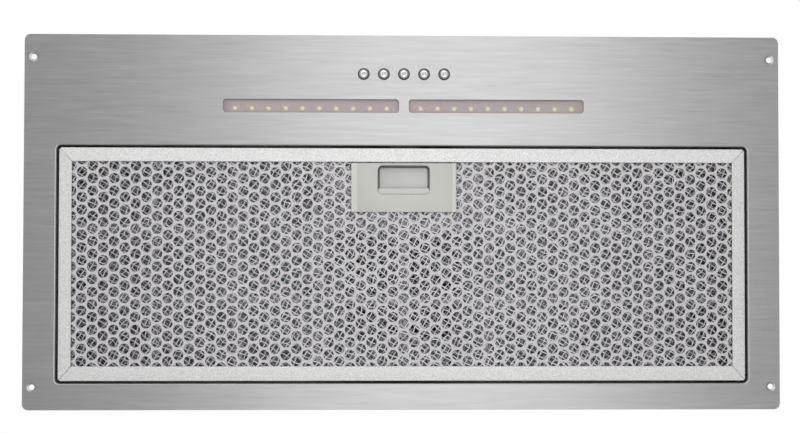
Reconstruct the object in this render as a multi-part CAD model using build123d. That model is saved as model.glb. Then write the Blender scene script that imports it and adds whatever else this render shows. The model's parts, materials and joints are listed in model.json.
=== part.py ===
"""A 30-inch range hood insert: a stainless face plate that shows below the cabinet, and the fan box above it.

Millimetres. +X is the user's right, -Y the front edge with the buttons, +Z up. The origin is the centre of
the four fixing holes, on the upper face of the face plate, which goes against the underside of the cabinet.
"""
from build123d import *
import os
from math import acos, cos, degrees, pi, radians, sin, sqrt

os.makedirs("parts", exist_ok=True)

# ---- face plate ----
plate_length = 750.0
plate_depth = 371.2
plate_t = 1.0
plate_corner_r = 6.0
fixing_inset_x = 9.4          # from the plate's end to a fixing hole
fixing_inset_y = 22.6
fixing_hole_r = 2.7
fixing_sink_r = 4.8           # mouth of the pressed countersink
fixing_land = 0.3             # straight part of the hole, above the countersink
fixing_ledge = 0.1            # from the hole's edge to the foot of the countersink
fixing_sides = 20
opening_rim_side = 31.7       # plate left beside the filter opening
opening_rim_front = 109.4
opening_rim_back = 25.7
opening_corner_r = 4.5
bend_bevel = 1.2              # where the opening's edge is drawn up

# ---- lights ----
window_length = 174.2
window_depth = 13.2
window_gap = 10.0             # plate left between the two windows
window_front_rim = 63.6       # plate in front of the windows
window_corner_r = 3.0
lens_lap = 2.0                # how far the lens laps over the plate round its window
lens_t = 2.0
holder_t = 1.2
holder_h = 9.2
holder_clear = 0.2
led_count = 10
led_pitch = 16.8
led_first = 17.0              # from the plate's middle to the first lamp
led_shift = 2.1               # the row of lamps lies behind the window's middle line
led_strip_depth = 8.0
led_strip_near = 2.5          # from the window's inner end to the board
led_strip_far = 5.5           # from its outer end
led_board_t = 1.0
led_length = 3.5
led_width = 2.8
led_h = 1.0

# ---- push buttons ----
button_count = 5
button_pitch = 20.0
button_front_rim = 38.4       # from the plate's front edge to the buttons
button_r = 5.2
button_dome = 1.4
button_slope = 2.4            # how far the dome's slope runs in from the rim
button_sides = 24
button_stand = 1.4            # how far the rim of the dome stands below the plate
button_travel = 2.5
travel_clear = 0.25           # left over the shoulder of a button that is pressed right in
button_clear = 0.6
shoulder_half = 7.0
shoulder_gap = 0.3            # from the plate to the shoulder that keeps a button in
shoulder_t = 1.5
stem_half = 2.0
stem_clear = 0.4
switch_length = 104.0
switch_depth = 24.0
switch_h = 20.0
switch_bevel = 1.0
bracket_t = 1.0
bracket_foot = 4.0
switch_well = 9.0

# ---- filter ----
filter_gap = 2.8
filter_h = 9.0
frame_t = 0.8
frame_corner_r = 3.0
bar_side = 12.7               # width of the frame that shows below
bar_front = 13.7
bar_back = 14.4
frame_return = 8.0            # width of the frame's upper flange
sheet_clear = 0.5             # between the filter's layers and the wall of the frame
perforated_t = 0.6
perforation_r = 5.1
perforation_pitch_x = 42.4    # four times the pitch of the real sheet, with holes of the real size
perforation_pitch_y = 49.9
perforation_margin = 6.0
perforation_sides = 6
grid_t = 0.8
grid_columns = 8
grid_rows = 3
grid_web = 9.0

# ---- handle and latch ----
handle_length = 104.4
handle_depth = 48.7
handle_t = 1.2
handle_gap = 1.0              # dark line between the frame and the handle
handle_bevel = 0.6
pocket_length = 51.6
pocket_depth = 28.7
pocket_inset = 2.4            # from the handle's front edge to the pocket
pocket_corner_r = 5.0
pocket_wall = 1.2
latch_travel = 7.0
latch_t = 2.0
bolt_bevel = 1.0
latch_clear = 0.4
latch_side_lap = 3.0
latch_hold = 3.0              # how far the bolt reaches past the rim of the opening
bolt_half = 14.0
lip_depth = 6.1
lip_t = 1.6
lip_round = 0.5
lip_lift = 1.0
cover_t = 1.0
cover_foot = 8.0
cover_room = 12.0             # behind the drawn-back latch, for its spring

# ---- filter pivots ----
pivot_r = 2.0
pivot_clear = 0.1
pivot_inset = 7.4             # from the filter's back edge to the pivots
pivot_reach = 2.5             # how far a pivot pin passes the wall of the opening

# ---- housing ----
housing_inset_x = 21.0        # from the plate's end to the housing's wall
housing_inset_y = 13.6
housing_h = 200.0
wall_t = 0.8
foot_flange = 8.0
top_flange = 12.0
corner_tab = 10.0
tab_inset = 14.0
partition_gap = 5.0           # between the rim of the opening and the partition
notch_clear = 0.3

# ---- blower ----
blower_gap = 9.7              # from the partition to the scroll
blower_rise = 7.5             # from the filter's top to the scroll
blower_inner = 104.0          # inside width of the scroll
scroll_t = 2.5
scroll_gap = 12.0             # from the wheel to the first arc of the scroll
scroll_step = 8.0             # what each quarter turn adds to the scroll's radius
scroll_turn = 10.0            # degrees between the flats of the scroll
scroll_outlet_inset = 22.0    # the tongue, from the axis
outlet_flange = 9.0
outlet_flange_t = 2.5
throat_h = 14.231             # from the tongue of the scroll to the top of the housing
inlet_flare = 3.0             # the inlet is wider at its mouth
inlet_sides = 40
fan_blade_depth = 13.0
fan_gap = 6.0                 # between the wheel and each side of the scroll
fan_blades = 20               # on each side of the hub disc
fan_blade_t = 0.9
fan_blade_mid_lean = 2.3      # degrees that a blade leans forward at its middle
fan_blade_tip_lean = 14.0     # and at its tip
fan_ring_t = 2.0
fan_disc_t = 1.2
hub_r = 12.0
hub_length = 16.0
hub_boss = 1.6                # how far the hub stands out towards the motor
shaft_r = 4.0
shaft_clear = 0.05
shaft_in_motor = 18.0
motor_r = 40.0
motor_sides = 36
motor_gap = 4.0               # from the hub disc to the motor
motor_screw_circle_r = 17.0
spider_t = 2.0
spider_arm = 16.0
spider_hub_r = 26.0
spider_hub_sides = 9
grommet_r = 6.5
grommet_t = 5.1
grommet_sides = 8
grommet_reach = 14.0          # from the inlet's edge to the middle of a foot
grommet_turns = (160.0, 280.0, 25.0)

# ---- duct collar and non-return flaps ----
duct_r = 74.5                 # outside, for 150 mm duct
duct_t = 1.0
duct_h = 46.0
duct_bore_sides = 48
collar_rim = 10.5             # from the spigot to the straight edge of its flange
collar_flange_t = 1.0
gasket_t = 1.5
gasket_width = 9.0
collar_screw_inset = 9.0
flap_rise = 12.0              # of the flap pins above the collar's flange
flap_t = 0.8
flap_pin_r = 1.5
flap_pin_clear = 0.08
flap_pin_short = 0.25         # how far a pin's ends stay inside the collar's outside
flap_hem_half = 2.4           # the hem that is folded round the pin
flap_pin_offset = 5.0
flap_inner_lap = 3.0
flap_edge_gap = 1.2
flap_sides = 40
hem_length = 124.0
stop_length = 8.0
stop_reach = 4.0
stop_t = 1.0
stop_root = 0.5               # how deep a stop goes into the collar's wall
stop_gap = 0.3

# ---- electrics in the front compartment ----
gland_inset_x = 104.0         # from the housing's outside
gland_inset_y = 42.0
gland_bore_r = 4.5
gland_thread_r = 7.5
gland_thread_sides = 24
gland_hex_r = 11.0
gland_hex_t = 4.0
gland_cap_r = 9.5
gland_cap_t = 9.0
gland_thread_l = 7.0
gland_hole_clear = 0.2
control_x = -170.0
control_z = 120.0
control_size = (120.0, 40.0, 62.0)
control_wall = 2.0
lid_t = 2.0
board_size = (104.0, 48.0)
board_t = 1.6
board_stand = 6.0
board_foot_half = 1.6
relay_width = 12.0
relay_pitch = 24.0
relay_h = 18.0
relay_depth = 12.0
terminal_half = 41.6
terminal_h = 12.0
terminal_depth = 9.6
driver_x = 60.0
driver_z = 120.0
driver_size = (84.0, 28.0, 34.0)
driver_ear = 9.0
driver_ear_t = 2.0
driver_bevel = 1.0
capacitor_x = 200.0
capacitor_z = 120.0
capacitor_size = (50.0, 26.0, 34.0)
capacitor_bevel = 1.5
capacitor_ear = 12.0
capacitor_ear_t = 3.0
capacitor_ear_hole_r = 2.5
tab_width = 6.3
tab_t = 0.8
tab_length = 8.0
tab_spacing = 25.0

# ---- screws ----
screw_head_r = 4.0
screw_head_t = 2.4
top_screw_inset = 6.0
top_screw_end = 34.0          # from the housing's end to the first screw
top_screw_middle = 115.0      # from the middle to the inner screws

# ---- places worked out from the sizes above ----
plate_half_x = plate_length / 2
plate_half_y = plate_depth / 2
face_z = -plate_t
opening = (
    -plate_half_x + opening_rim_side,
    plate_half_x - opening_rim_side,
    -plate_half_y + opening_rim_front,
    plate_half_y - opening_rim_back,
)
filter_top_z = face_z + filter_h
frame = (opening[0] + filter_gap, opening[1] - filter_gap, opening[2] + filter_gap, opening[3] - filter_gap)
layer_inset = frame_t + sheet_clear
perforated_z = face_z + frame_t
mesh_z = perforated_z + perforated_t
grid_z = filter_top_z - frame_t - grid_t
handle_y = frame[2] + bar_front + handle_gap
pocket_y = handle_y + pocket_inset
pocket_back_y = pocket_y + pocket_depth
sleeve_back_y = pocket_back_y + latch_travel + latch_clear
latch_z = filter_top_z + latch_clear
rim_y = opening[2] - plate_t
window_y = -plate_half_y + window_front_rim + window_depth / 2
button_y = -plate_half_y + button_front_rim
housing_half_x = plate_half_x - housing_inset_x
housing_half_y = plate_half_y - housing_inset_y
partition_y = rim_y - partition_gap
partition_front_y = partition_y - wall_t
blower_half = blower_inner / 2
side_x = blower_half + scroll_t
fan_width = blower_inner - 2 * fan_gap
tongue_reach = scroll_outlet_inset + scroll_step / 2
scroll_low = filter_top_z + blower_rise + scroll_t + scroll_step * 3 / 2
scroll_rise = housing_h - throat_h - scroll_low + scroll_step / 2
scroll_first_r = (scroll_rise ** 2 + tongue_reach ** 2) / (2 * scroll_rise)
fan_r = scroll_first_r - scroll_gap
fan_inner_r = fan_r - fan_blade_depth
inlet_r = fan_inner_r
blower_y = partition_y + blower_gap + scroll_t + scroll_first_r + scroll_step / 2
blower_z = scroll_low + scroll_first_r
motor_x = fan_disc_t / 2 + motor_gap
motor_end_x = side_x + grommet_t
grommet_circle_r = inlet_r + grommet_reach
outlet_y0 = blower_y + scroll_outlet_inset
outlet_y1 = blower_y + scroll_step / 2 + scroll_first_r + 2 * scroll_step
duct_y = (outlet_y0 + outlet_y1) / 2
collar_half = duct_r + collar_rim
panel_top_z = housing_h + wall_t
collar_z = panel_top_z + gasket_t
flap_z = collar_z + collar_flange_t + flap_rise
pivot_y = frame[3] - pivot_inset
pivot_z = face_z + filter_h / 2
gland_x = -housing_half_x + gland_inset_x
gland_y = -housing_half_y + gland_inset_y
top_screw_far = housing_half_x - top_screw_end
top_screw_places = (-top_screw_far, -top_screw_middle, top_screw_middle, top_screw_far)


# ---- helpers ----
def block(x0, x1, y0, y1, z0, z1):
    """A box between three pairs of limits."""
    return Pos((x0 + x1) / 2, (y0 + y1) / 2, (z0 + z1) / 2) * Box(x1 - x0, y1 - y0, z1 - z0)


def slab(x0, x1, y0, y1, z0, z1, corner_r):
    """An upright prism on a rectangle with rounded corners."""
    outline = Pos((x0 + x1) / 2, (y0 + y1) / 2, z0) * RectangleRounded(x1 - x0, y1 - y0, corner_r)
    return extrude(outline, z1 - z0)


def post(x, y, z0, z1, r):
    """An upright cylinder."""
    return Pos(x, y, (z0 + z1) / 2) * Cylinder(r, z1 - z0)


def bar_x(x0, x1, y, z, r):
    """A cylinder that lies along X."""
    return Pos((x0 + x1) / 2, y, z) * Rot(0, 90, 0) * Cylinder(r, x1 - x0)


def bar_y(x, z, y0, y1, r):
    """A cylinder that lies along Y."""
    return Pos(x, (y0 + y1) / 2, z) * Rot(90, 0, 0) * Cylinder(r, y1 - y0)


def prism(x, y, z0, z1, r, sides):
    """An upright prism on a regular polygon."""
    return extrude(Pos(x, y, z0) * RegularPolygon(r, sides), z1 - z0)


def funnel(mouth_r, narrow_r, depth, sides):
    """An upright many-sided funnel: a shaft below its mouth at the origin, and a narrow end above."""
    shaft = prism(0, 0, -depth, depth, mouth_r, sides)
    rim = shaft.faces().sort_by(Axis.Z)[-1]
    return chamfer(rim.edges(), mouth_r - narrow_r, depth, reference=rim)


def hexagon(x, y, z0, z1, r):
    """An upright six-sided prism."""
    return prism(x, y, z0, z1, r, 6)


def folded(points, thickness, turned=False):
    """The section of sheet folded along points, thickened to the left of them, or to the right if turned."""
    path = reversed(points) if turned else points
    return make_face(offset(Polyline(*path), thickness, side=Side.LEFT))


def folded_x(section, x0, x1):
    """A section in y and z, drawn out from x0 to x1."""
    return extrude(Plane.YZ.offset(x0) * section, x1 - x0)


def folded_y(section, y0, y1):
    """A section in x and z, drawn out from y0 to y1."""
    return extrude(Plane.XZ.offset(-y0) * section, -(y1 - y0))


def grown(limits, amount):
    """A rectangle's limits moved outwards."""
    return (limits[0] - amount, limits[1] + amount, limits[2] - amount, limits[3] + amount)


def screw_head(x, y, z):
    """The head of a hexagon-head screw, on the surface at z."""
    return hexagon(x, y, z, z + screw_head_t, screw_head_r)


# ---- face plate ----
def fixing_points():
    """Centres of the four fixing holes."""
    half_x = plate_half_x - fixing_inset_x
    half_y = plate_half_y - fixing_inset_y
    return [(sx * half_x, sy * half_y) for sx in (-1, 1) for sy in (-1, 1)]


def button_places():
    """X of each push button, from the left."""
    return [(i - (button_count - 1) / 2) * button_pitch for i in range(button_count)]


def face_plate():
    """The sheet that shows, with its opening drawn up into a collar."""
    collar_top = filter_top_z
    plate = slab(-plate_half_x, plate_half_x, -plate_half_y, plate_half_y, face_z, 0, plate_corner_r)
    plate += slab(*grown(opening, plate_t), 0, collar_top, opening_corner_r + plate_t)
    plate -= slab(*opening, face_z, collar_top, opening_corner_r)
    mouth = plate.edges().filter_by_position(Axis.Z, face_z, face_z)
    mouth = mouth.filter_by_position(Axis.X, opening[0], opening[1])
    plate = chamfer(mouth.filter_by_position(Axis.Y, opening[2], opening[3]), bend_bevel)
    sink = funnel(fixing_sink_r, fixing_hole_r + fixing_ledge, plate_t - fixing_land, fixing_sides)
    for x, y in fixing_points():
        plate -= Pos(x, y, face_z) * sink
        plate -= post(x, y, face_z, 0, fixing_hole_r)
    for side in (-1, 1):
        middle = side * (window_gap + window_length) / 2
        plate -= slab(
            middle - window_length / 2,
            middle + window_length / 2,
            window_y - window_depth / 2,
            window_y + window_depth / 2,
            face_z,
            0,
            window_corner_r,
        )
    button_hole = extrude(RegularPolygon(button_r + button_clear, button_sides), plate_t)
    for x in button_places():
        plate -= Pos(x, button_y, face_z) * button_hole
    for side in (-1, 1):
        wall_x = side * opening[1]
        plate -= bar_x(
            min(wall_x, wall_x + side * plate_t), max(wall_x, wall_x + side * plate_t),
            pivot_y, pivot_z, pivot_r + pivot_clear,
        )
    return plate


# ---- lights ----
def window_limits(side):
    """The left (-1) or right (1) light window."""
    near = side * window_gap / 2
    far = near + side * window_length
    return (min(near, far), max(near, far), window_y - window_depth / 2, window_y + window_depth / 2)


def light_lens(side):
    """The frosted strip that closes a window, lying on the plate."""
    return block(*grown(window_limits(side), lens_lap), 0, lens_t)


def light_holder(side):
    """The aluminium tray over a lens, which carries the lamp strip under its roof."""
    inner = grown(window_limits(side), lens_lap + holder_clear)
    return block(*grown(inner, holder_t), 0, holder_h) - block(*inner, 0, holder_h - holder_t)


def led_strip(side):
    """A printed board with its row of lamps, facing down."""
    row_y = window_y + led_shift
    top = holder_h - holder_t
    near = side * (window_gap / 2 + led_strip_near)
    far = side * (window_gap / 2 + window_length - led_strip_far)
    strip = block(
        min(near, far), max(near, far), row_y - led_strip_depth / 2, row_y + led_strip_depth / 2,
        top - led_board_t, top,
    )
    for i in range(led_count):
        x = side * (led_first + i * led_pitch)
        strip += block(
            x - led_length / 2, x + led_length / 2, row_y - led_width / 2, row_y + led_width / 2,
            top - led_board_t - led_h, top - led_board_t,
        )
    return strip


# ---- push buttons ----
shoulder_z = shoulder_gap
bracket_z = shoulder_z + shoulder_t + button_travel + travel_clear
switch_z = bracket_z + bracket_t


def button_cap(x):
    """A domed button with a square shoulder that keeps it in, and a stem that works its switch."""
    rim_z = face_z - button_stand
    bottom_z = rim_z - button_dome
    cap = extrude(Pos(0, 0, bottom_z) * RegularPolygon(button_r, button_sides), shoulder_z - bottom_z)
    cap = chamfer(cap.faces().sort_by(Axis.Z)[0].edges(), button_dome, button_slope)
    stem_z = shoulder_z + shoulder_t
    stem_top = switch_z + switch_well / 2
    cap += block(-shoulder_half, shoulder_half, -shoulder_half, shoulder_half, shoulder_z, stem_z)
    cap += block(-stem_half, stem_half, -stem_half, stem_half, stem_z, stem_top)
    return Pos(x, button_y, 0) * cap


def switch_bracket():
    """A hat-shaped bridge over the buttons, with a slot for each stem."""
    half = switch_depth / 2
    y0 = button_y - half
    y1 = button_y + half
    section = folded(
        [(y0 - bracket_foot, 0), (y0, 0), (y0, bracket_z), (y1, bracket_z), (y1, 0), (y1 + bracket_foot, 0)],
        bracket_t,
    )
    bridge = folded_x(section, -switch_length / 2, switch_length / 2)
    for x in button_places():
        hole = stem_half + stem_clear
        bridge -= block(x - hole, x + hole, button_y - hole, button_y + hole, bracket_z, switch_z)
    return bridge


def switch_block():
    """The row of push switches, in one body, with a well for each stem."""
    half = switch_length / 2 - bracket_t
    body = block(
        -half, half, button_y - switch_depth / 2 + bracket_t, button_y + switch_depth / 2 - bracket_t,
        switch_z, switch_z + switch_h,
    )
    body = chamfer(body.faces().sort_by(Axis.Z)[-1].edges(), switch_bevel)
    for x in button_places():
        hole = stem_half + stem_clear
        body -= block(x - hole, x + hole, button_y - hole, button_y + hole, switch_z, switch_z + switch_well)
    return body


# ---- filter ----
def frame_channel():
    """The whole folded frame of the filter, before it is mitred into four bars."""
    x0, x1, y0, y1 = frame
    channel = slab(*frame, face_z, filter_top_z, frame_corner_r)
    channel -= slab(
        *grown(frame, -frame_t), face_z + frame_t, filter_top_z - frame_t, frame_corner_r - frame_t
    )
    channel -= block(x0 + bar_side, x1 - bar_side, y0 + bar_front, y1 - bar_back, face_z, face_z + frame_t)
    inner = grown(frame, -frame_return)
    channel -= block(*inner, filter_top_z - frame_t, filter_top_z)
    return channel


def filter_bars():
    """The frame cut along its corner mitres: front, back, left and right bars."""
    x0, x1, y0, y1 = frame
    inner_x0 = x0 + bar_side
    inner_x1 = x1 - bar_side
    inner_y0 = y0 + bar_front
    inner_y1 = y1 - bar_back
    outlines = {
        "filter_bar_front": [(x0, y0), (x1, y0), (inner_x1, inner_y0), (inner_x0, inner_y0)],
        "filter_bar_back": [(x1, y1), (x0, y1), (inner_x0, inner_y1), (inner_x1, inner_y1)],
        "filter_bar_left": [(x0, y1), (x0, y0), (inner_x0, inner_y0), (inner_x0, inner_y1)],
        "filter_bar_right": [(x1, y0), (x1, y1), (inner_x1, inner_y1), (inner_x1, inner_y0)],
    }
    channel = frame_channel()
    bars = {}
    for name, corners in outlines.items():
        wedge = extrude(Pos(0, 0, face_z) * make_face(Polyline(*corners, close=True)), filter_h)
        bars[name] = channel & wedge
    for name, side in (("filter_bar_left", -1), ("filter_bar_right", 1)):
        wall = side * x1
        bars[name] -= bar_x(
            min(wall, wall - side * frame_t), max(wall, wall - side * frame_t), pivot_y, pivot_z, pivot_r
        )
    return bars


def pocket_limits():
    """Where the handle's pocket passes through the layers of the filter."""
    half = pocket_length / 2 + pocket_wall
    return (-half, half, pocket_y - pocket_wall, sleeve_back_y + pocket_wall)


def inside(x, y, limits, margin):
    """Whether a point is within a rectangle's limits and a margin round them."""
    return limits[0] - margin < x < limits[1] + margin and limits[2] - margin < y < limits[3] + margin


def holed_layer(limits, z, thickness, holes):
    """A flat layer of the filter, from one face with polygon holes."""
    x0, x1, y0, y1 = limits
    cut = frame_corner_r
    outline = [
        (x0 + cut, y0), (x1 - cut, y0), (x1, y0 + cut), (x1, y1 - cut),
        (x1 - cut, y1), (x0 + cut, y1), (x0, y1 - cut), (x0, y0 + cut),
    ]
    outer = Wire.make_polygon([(x, y, z) for x, y in outline])
    inner = [Wire.make_polygon([(x, y, z) for x, y in hole]) for hole in holes]
    return extrude(Face(outer, inner), thickness, dir=(0, 0, 1))


def rectangle(limits):
    """The corners of a rectangle's limits."""
    x0, x1, y0, y1 = limits
    return [(x0, y0), (x1, y0), (x1, y1), (x0, y1)]


def perforated_sheet():
    """The pierced sheet that shows: holes in staggered columns."""
    limits = grown(frame, -layer_inset)
    handle = (-handle_length / 2, handle_length / 2, handle_y, handle_y + handle_depth)
    half_x = limits[1] - perforation_margin - perforation_r
    columns = int(half_x / perforation_pitch_x)
    y_low = limits[2] + perforation_margin + perforation_r
    y_high = limits[3] - perforation_margin - perforation_r
    rows = int((y_high - y_low) / perforation_pitch_y)
    y_first = (y_low + y_high - rows * perforation_pitch_y) / 2
    holes = [rectangle(pocket_limits())]
    for i in range(-columns, columns + 1):
        stagger = (i % 2) / 2
        for j in range(rows + 1 - i % 2):
            x = i * perforation_pitch_x
            y = y_first + (j + stagger) * perforation_pitch_y
            if not inside(x, y, handle, perforation_r):
                holes.append([
                    (x + perforation_r * cos(2 * pi * k / perforation_sides),
                     y + perforation_r * sin(2 * pi * k / perforation_sides))
                    for k in range(perforation_sides)
                ])
    return holed_layer(limits, perforated_z, perforated_t, holes)


def mesh_pack():
    """The pad of crumpled aluminium mesh between the two sheets, as the solid that it fills."""
    limits = grown(frame, -layer_inset)
    return holed_layer(limits, mesh_z, grid_z - mesh_z, [rectangle(pocket_limits())])


def rear_grid():
    """The wide grid that holds the mesh in from above."""
    limits = grown(frame, -layer_inset)
    field = grown(limits, -frame_return)
    cell_x = (field[1] - field[0]) / grid_columns
    cell_y = (field[3] - field[2]) / grid_rows
    pocket = pocket_limits()
    cover = (pocket[0] - cover_foot, pocket[1] + cover_foot, field[2], pocket[3] + cover_foot)
    holes = [rectangle(pocket)]
    for i in range(grid_columns):
        for j in range(grid_rows):
            x0 = field[0] + i * cell_x + grid_web / 2
            y0 = field[2] + j * cell_y + grid_web / 2
            x1 = x0 + cell_x - grid_web
            y1 = y0 + cell_y - grid_web
            if x1 < cover[0] or x0 > cover[1] or y0 > cover[3]:
                holes.append([(x0, y0), (x1, y0), (x1, y1), (x0, y1)])
    return holed_layer(limits, grid_z, grid_t, holes)


# ---- handle and latch ----
def handle_bezel():
    """The moulded plate round the finger pocket, with the sleeve that keeps the mesh out of it."""
    half = handle_length / 2
    plate = block(-half, half, handle_y, handle_y + handle_depth, perforated_z - handle_t, perforated_z)
    plate = chamfer(plate.faces().sort_by(Axis.Z)[0].edges(), handle_bevel)
    pocket_half = pocket_length / 2
    plate -= slab(
        -pocket_half, pocket_half, pocket_y, pocket_back_y,
        perforated_z - handle_t, perforated_z, pocket_corner_r,
    )
    sleeve = block(*pocket_limits(), perforated_z, filter_top_z)
    sleeve -= block(-pocket_half, pocket_half, pocket_y, sleeve_back_y, perforated_z, filter_top_z)
    return plate + sleeve


def latch_slider():
    """The sliding latch: a plate with its bolt, and the lip that a finger draws back."""
    half = pocket_length / 2 + latch_side_lap
    bolt_tip = rim_y - latch_hold
    plate = block(
        -half, half, pocket_y - pocket_wall, pocket_back_y + latch_side_lap, latch_z, latch_z + latch_t
    )
    bolt = block(-bolt_half, bolt_half, bolt_tip, pocket_y, latch_z, latch_z + latch_t)
    bolt = chamfer(bolt.edges().filter_by(Axis.X).group_by(Axis.Y)[0].sort_by(Axis.Z)[0], bolt_bevel)
    lip_half = pocket_length / 2 - latch_clear
    lip_z = perforated_z + lip_lift
    wall = block(-lip_half, lip_half, pocket_back_y - lip_t, pocket_back_y, lip_z, latch_z)
    lip = block(-lip_half, lip_half, pocket_back_y - lip_depth, pocket_back_y, lip_z, lip_z + lip_t)
    lip = fillet(lip.edges().filter_by(Axis.X).group_by(Axis.Y)[0], lip_round)
    return plate + bolt + wall + lip


cover_in_z = latch_z + latch_t + latch_clear


def latch_cover():
    """The folded cover over the latch, open at the front for its bolt."""
    half = pocket_length / 2 + latch_side_lap + latch_clear
    y0 = frame[2] + frame_return + latch_clear
    y1 = pocket_back_y + latch_side_lap + latch_travel + cover_room
    low = filter_top_z - frame_t
    section = folded(
        [
            (-half - cover_foot, low), (-half, low), (-half, cover_in_z),
            (half, cover_in_z), (half, low), (half + cover_foot, low),
        ],
        cover_t,
    )
    outer = folded_y(section, y0, y1)
    back = block(-half, half, y1 - cover_t, y1, low, cover_in_z)
    return outer + back


def pivot_pin(side):
    """One of the two pins that the filter swings on, riveted in its side bar."""
    root = side * (frame[1] - frame_t)
    tip = side * (opening[1] + plate_t + pivot_reach)
    return bar_x(min(root, tip), max(root, tip), pivot_y, pivot_z, pivot_r)


# ---- housing ----
def long_wall(side):
    """The front (-1) or back (1) wall, with its foot and top flanges folded inwards."""
    outer = side * housing_half_y
    foot = outer - side * foot_flange
    top = outer - side * top_flange
    half = housing_half_x - wall_t
    section = folded([(foot, 0), (outer, 0), (outer, housing_h), (top, housing_h)], wall_t, side < 0)
    channel = folded_x(section, -half, half)
    ends = block(
        -housing_half_x, housing_half_x, min(outer, outer - side * wall_t), max(outer, outer - side * wall_t),
        wall_t, housing_h - wall_t,
    )
    return channel + ends


def end_wall(side):
    """The left (-1) or right (1) wall, with flanges, and tabs that are riveted to the long walls."""
    outer = side * housing_half_x
    inner = outer - side * wall_t
    foot = outer - side * foot_flange
    top = outer - side * top_flange
    half = housing_half_y - wall_t
    sheet = block(min(outer, inner), max(outer, inner), -half, half, wall_t, housing_h - wall_t)
    short = half - top_flange
    section = folded([(foot, 0), (outer, 0), (outer, housing_h), (top, housing_h)], wall_t, side < 0)
    channel = folded_y(section, -short, short)
    wall = sheet + channel
    tab = inner - side * corner_tab
    for end in (-1, 1):
        y = end * half
        wall += block(
            min(inner, tab), max(inner, tab), min(y, y - end * wall_t), max(y, y - end * wall_t),
            tab_inset, housing_h - tab_inset,
        )
    return wall


def partition_wall():
    """The sheet between the electrics and the air, notched round the flanges of the end walls."""
    half = housing_half_x - wall_t
    section = folded(
        [
            (partition_y - foot_flange, 0), (partition_y, 0), (partition_y, housing_h),
            (partition_y - top_flange, housing_h),
        ],
        wall_t,
    )
    wall = folded_x(section, -half, half)
    for side in (-1, 1):
        for z0, z1, flange in (
            (0, wall_t + notch_clear, foot_flange),
            (housing_h - wall_t - notch_clear, housing_h, top_flange),
        ):
            edge = side * half
            cut = edge - side * (flange + notch_clear)
            wall -= block(
                min(edge, cut), max(edge, cut), partition_y - top_flange, partition_y, z0, z1
            )
    return wall


def collar_screw_points():
    """Centres of the screws at the corners of the collar's flange."""
    half = collar_half - collar_screw_inset
    return [(sx * half, duct_y + sy * half) for sx in (-1, 1) for sy in (-1, 1)]


def top_screw_points():
    """Centres of the screws that hold the top panel to the walls' flanges."""
    half_y = housing_half_y - top_screw_inset
    return [(x, side * half_y) for side in (-1, 1) for x in top_screw_places]


def top_panel():
    """The sheet that closes the box, with the outlet of the blower and the cable entry."""
    panel = block(-housing_half_x, housing_half_x, -housing_half_y, housing_half_y, housing_h, panel_top_z)
    panel -= block(-blower_half, blower_half, outlet_y0, outlet_y1, housing_h, panel_top_z)
    return panel - post(gland_x, gland_y, housing_h, panel_top_z, gland_thread_r + gland_hole_clear)


# ---- blower ----
def arc_points(y, z, r, first, last):
    """Points on an arc round (y, z), between two turns in degrees."""
    count = round(abs(last - first) / scroll_turn)
    turns = [radians(first + (last - first) * i / count) for i in range(count + 1)]
    return [(y + r * cos(turn), z + r * sin(turn)) for turn in turns]


def scroll_outline(grow, top_z):
    """The scroll's section, in y and z about the fan's axis: three quarter arcs and a straight outlet."""
    step = scroll_step / 2
    r1 = scroll_first_r + grow
    r2 = r1 + scroll_step
    r3 = r2 + scroll_step
    tongue_y = scroll_outlet_inset - grow
    tongue_turn = degrees(acos((tongue_y + step) / r1))
    points = arc_points(-step, -step, r1, tongue_turn, 180)
    points += arc_points(step, -step, r2, 180, 270)[1:]
    points += arc_points(step, step, r3, 270, 360)[1:]
    points += [(step + r3, top_z), (tongue_y, top_z)]
    return Pos(blower_y, blower_z) * make_face(Polyline(*points, close=True))


def scroll_layer(face, x0, x1):
    """A scroll section drawn out from x0 to x1."""
    return extrude(Plane.YZ.offset(x0) * face, x1 - x0)


def inlet_mouth(side):
    """The flared inlet through the left (-1) or right (1) wall of the scroll."""
    mouth = funnel(inlet_r + inlet_flare, inlet_r, scroll_t, inlet_sides)
    return Pos(side * side_x, blower_y, blower_z) * Rot(0, -side * 90, 0) * mouth


def scroll_body():
    """The wrap of the blower's housing, between its two side walls, with the flange of its outlet."""
    above = housing_h - blower_z
    body = scroll_layer(scroll_outline(scroll_t, above), -blower_half, blower_half)
    body += block(
        -side_x - outlet_flange, side_x + outlet_flange,
        outlet_y0 - scroll_t - outlet_flange, outlet_y1 + scroll_t + outlet_flange,
        housing_h - outlet_flange_t, housing_h,
    )
    return body - scroll_layer(scroll_outline(0, above + outlet_flange), -blower_half, blower_half)


def scroll_cover(side):
    """The left (-1) or right (1) side wall of the blower's housing, with its inlet."""
    top = housing_h - blower_z - outlet_flange_t
    x0 = min(side * blower_half, side * side_x)
    wall = scroll_layer(scroll_outline(scroll_t, top), x0, x0 + scroll_t)
    return wall - inlet_mouth(side)


def blade(angle):
    """The section of one forward-curved blade: two flats, thickened towards its hollow side."""
    mid_r = (fan_inner_r + fan_r) / 2
    places = ((fan_inner_r, 0), (mid_r, fan_blade_mid_lean), (fan_r, fan_blade_tip_lean))
    outer = []
    inner = []
    for r, lean in places:
        turn = radians(angle + lean)
        outer.append((r * cos(turn), r * sin(turn)))
        back = turn - fan_blade_t / r
        inner.append((r * cos(back), r * sin(back)))
    return make_face(Polyline(*outer, *reversed(inner), close=True))


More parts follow.
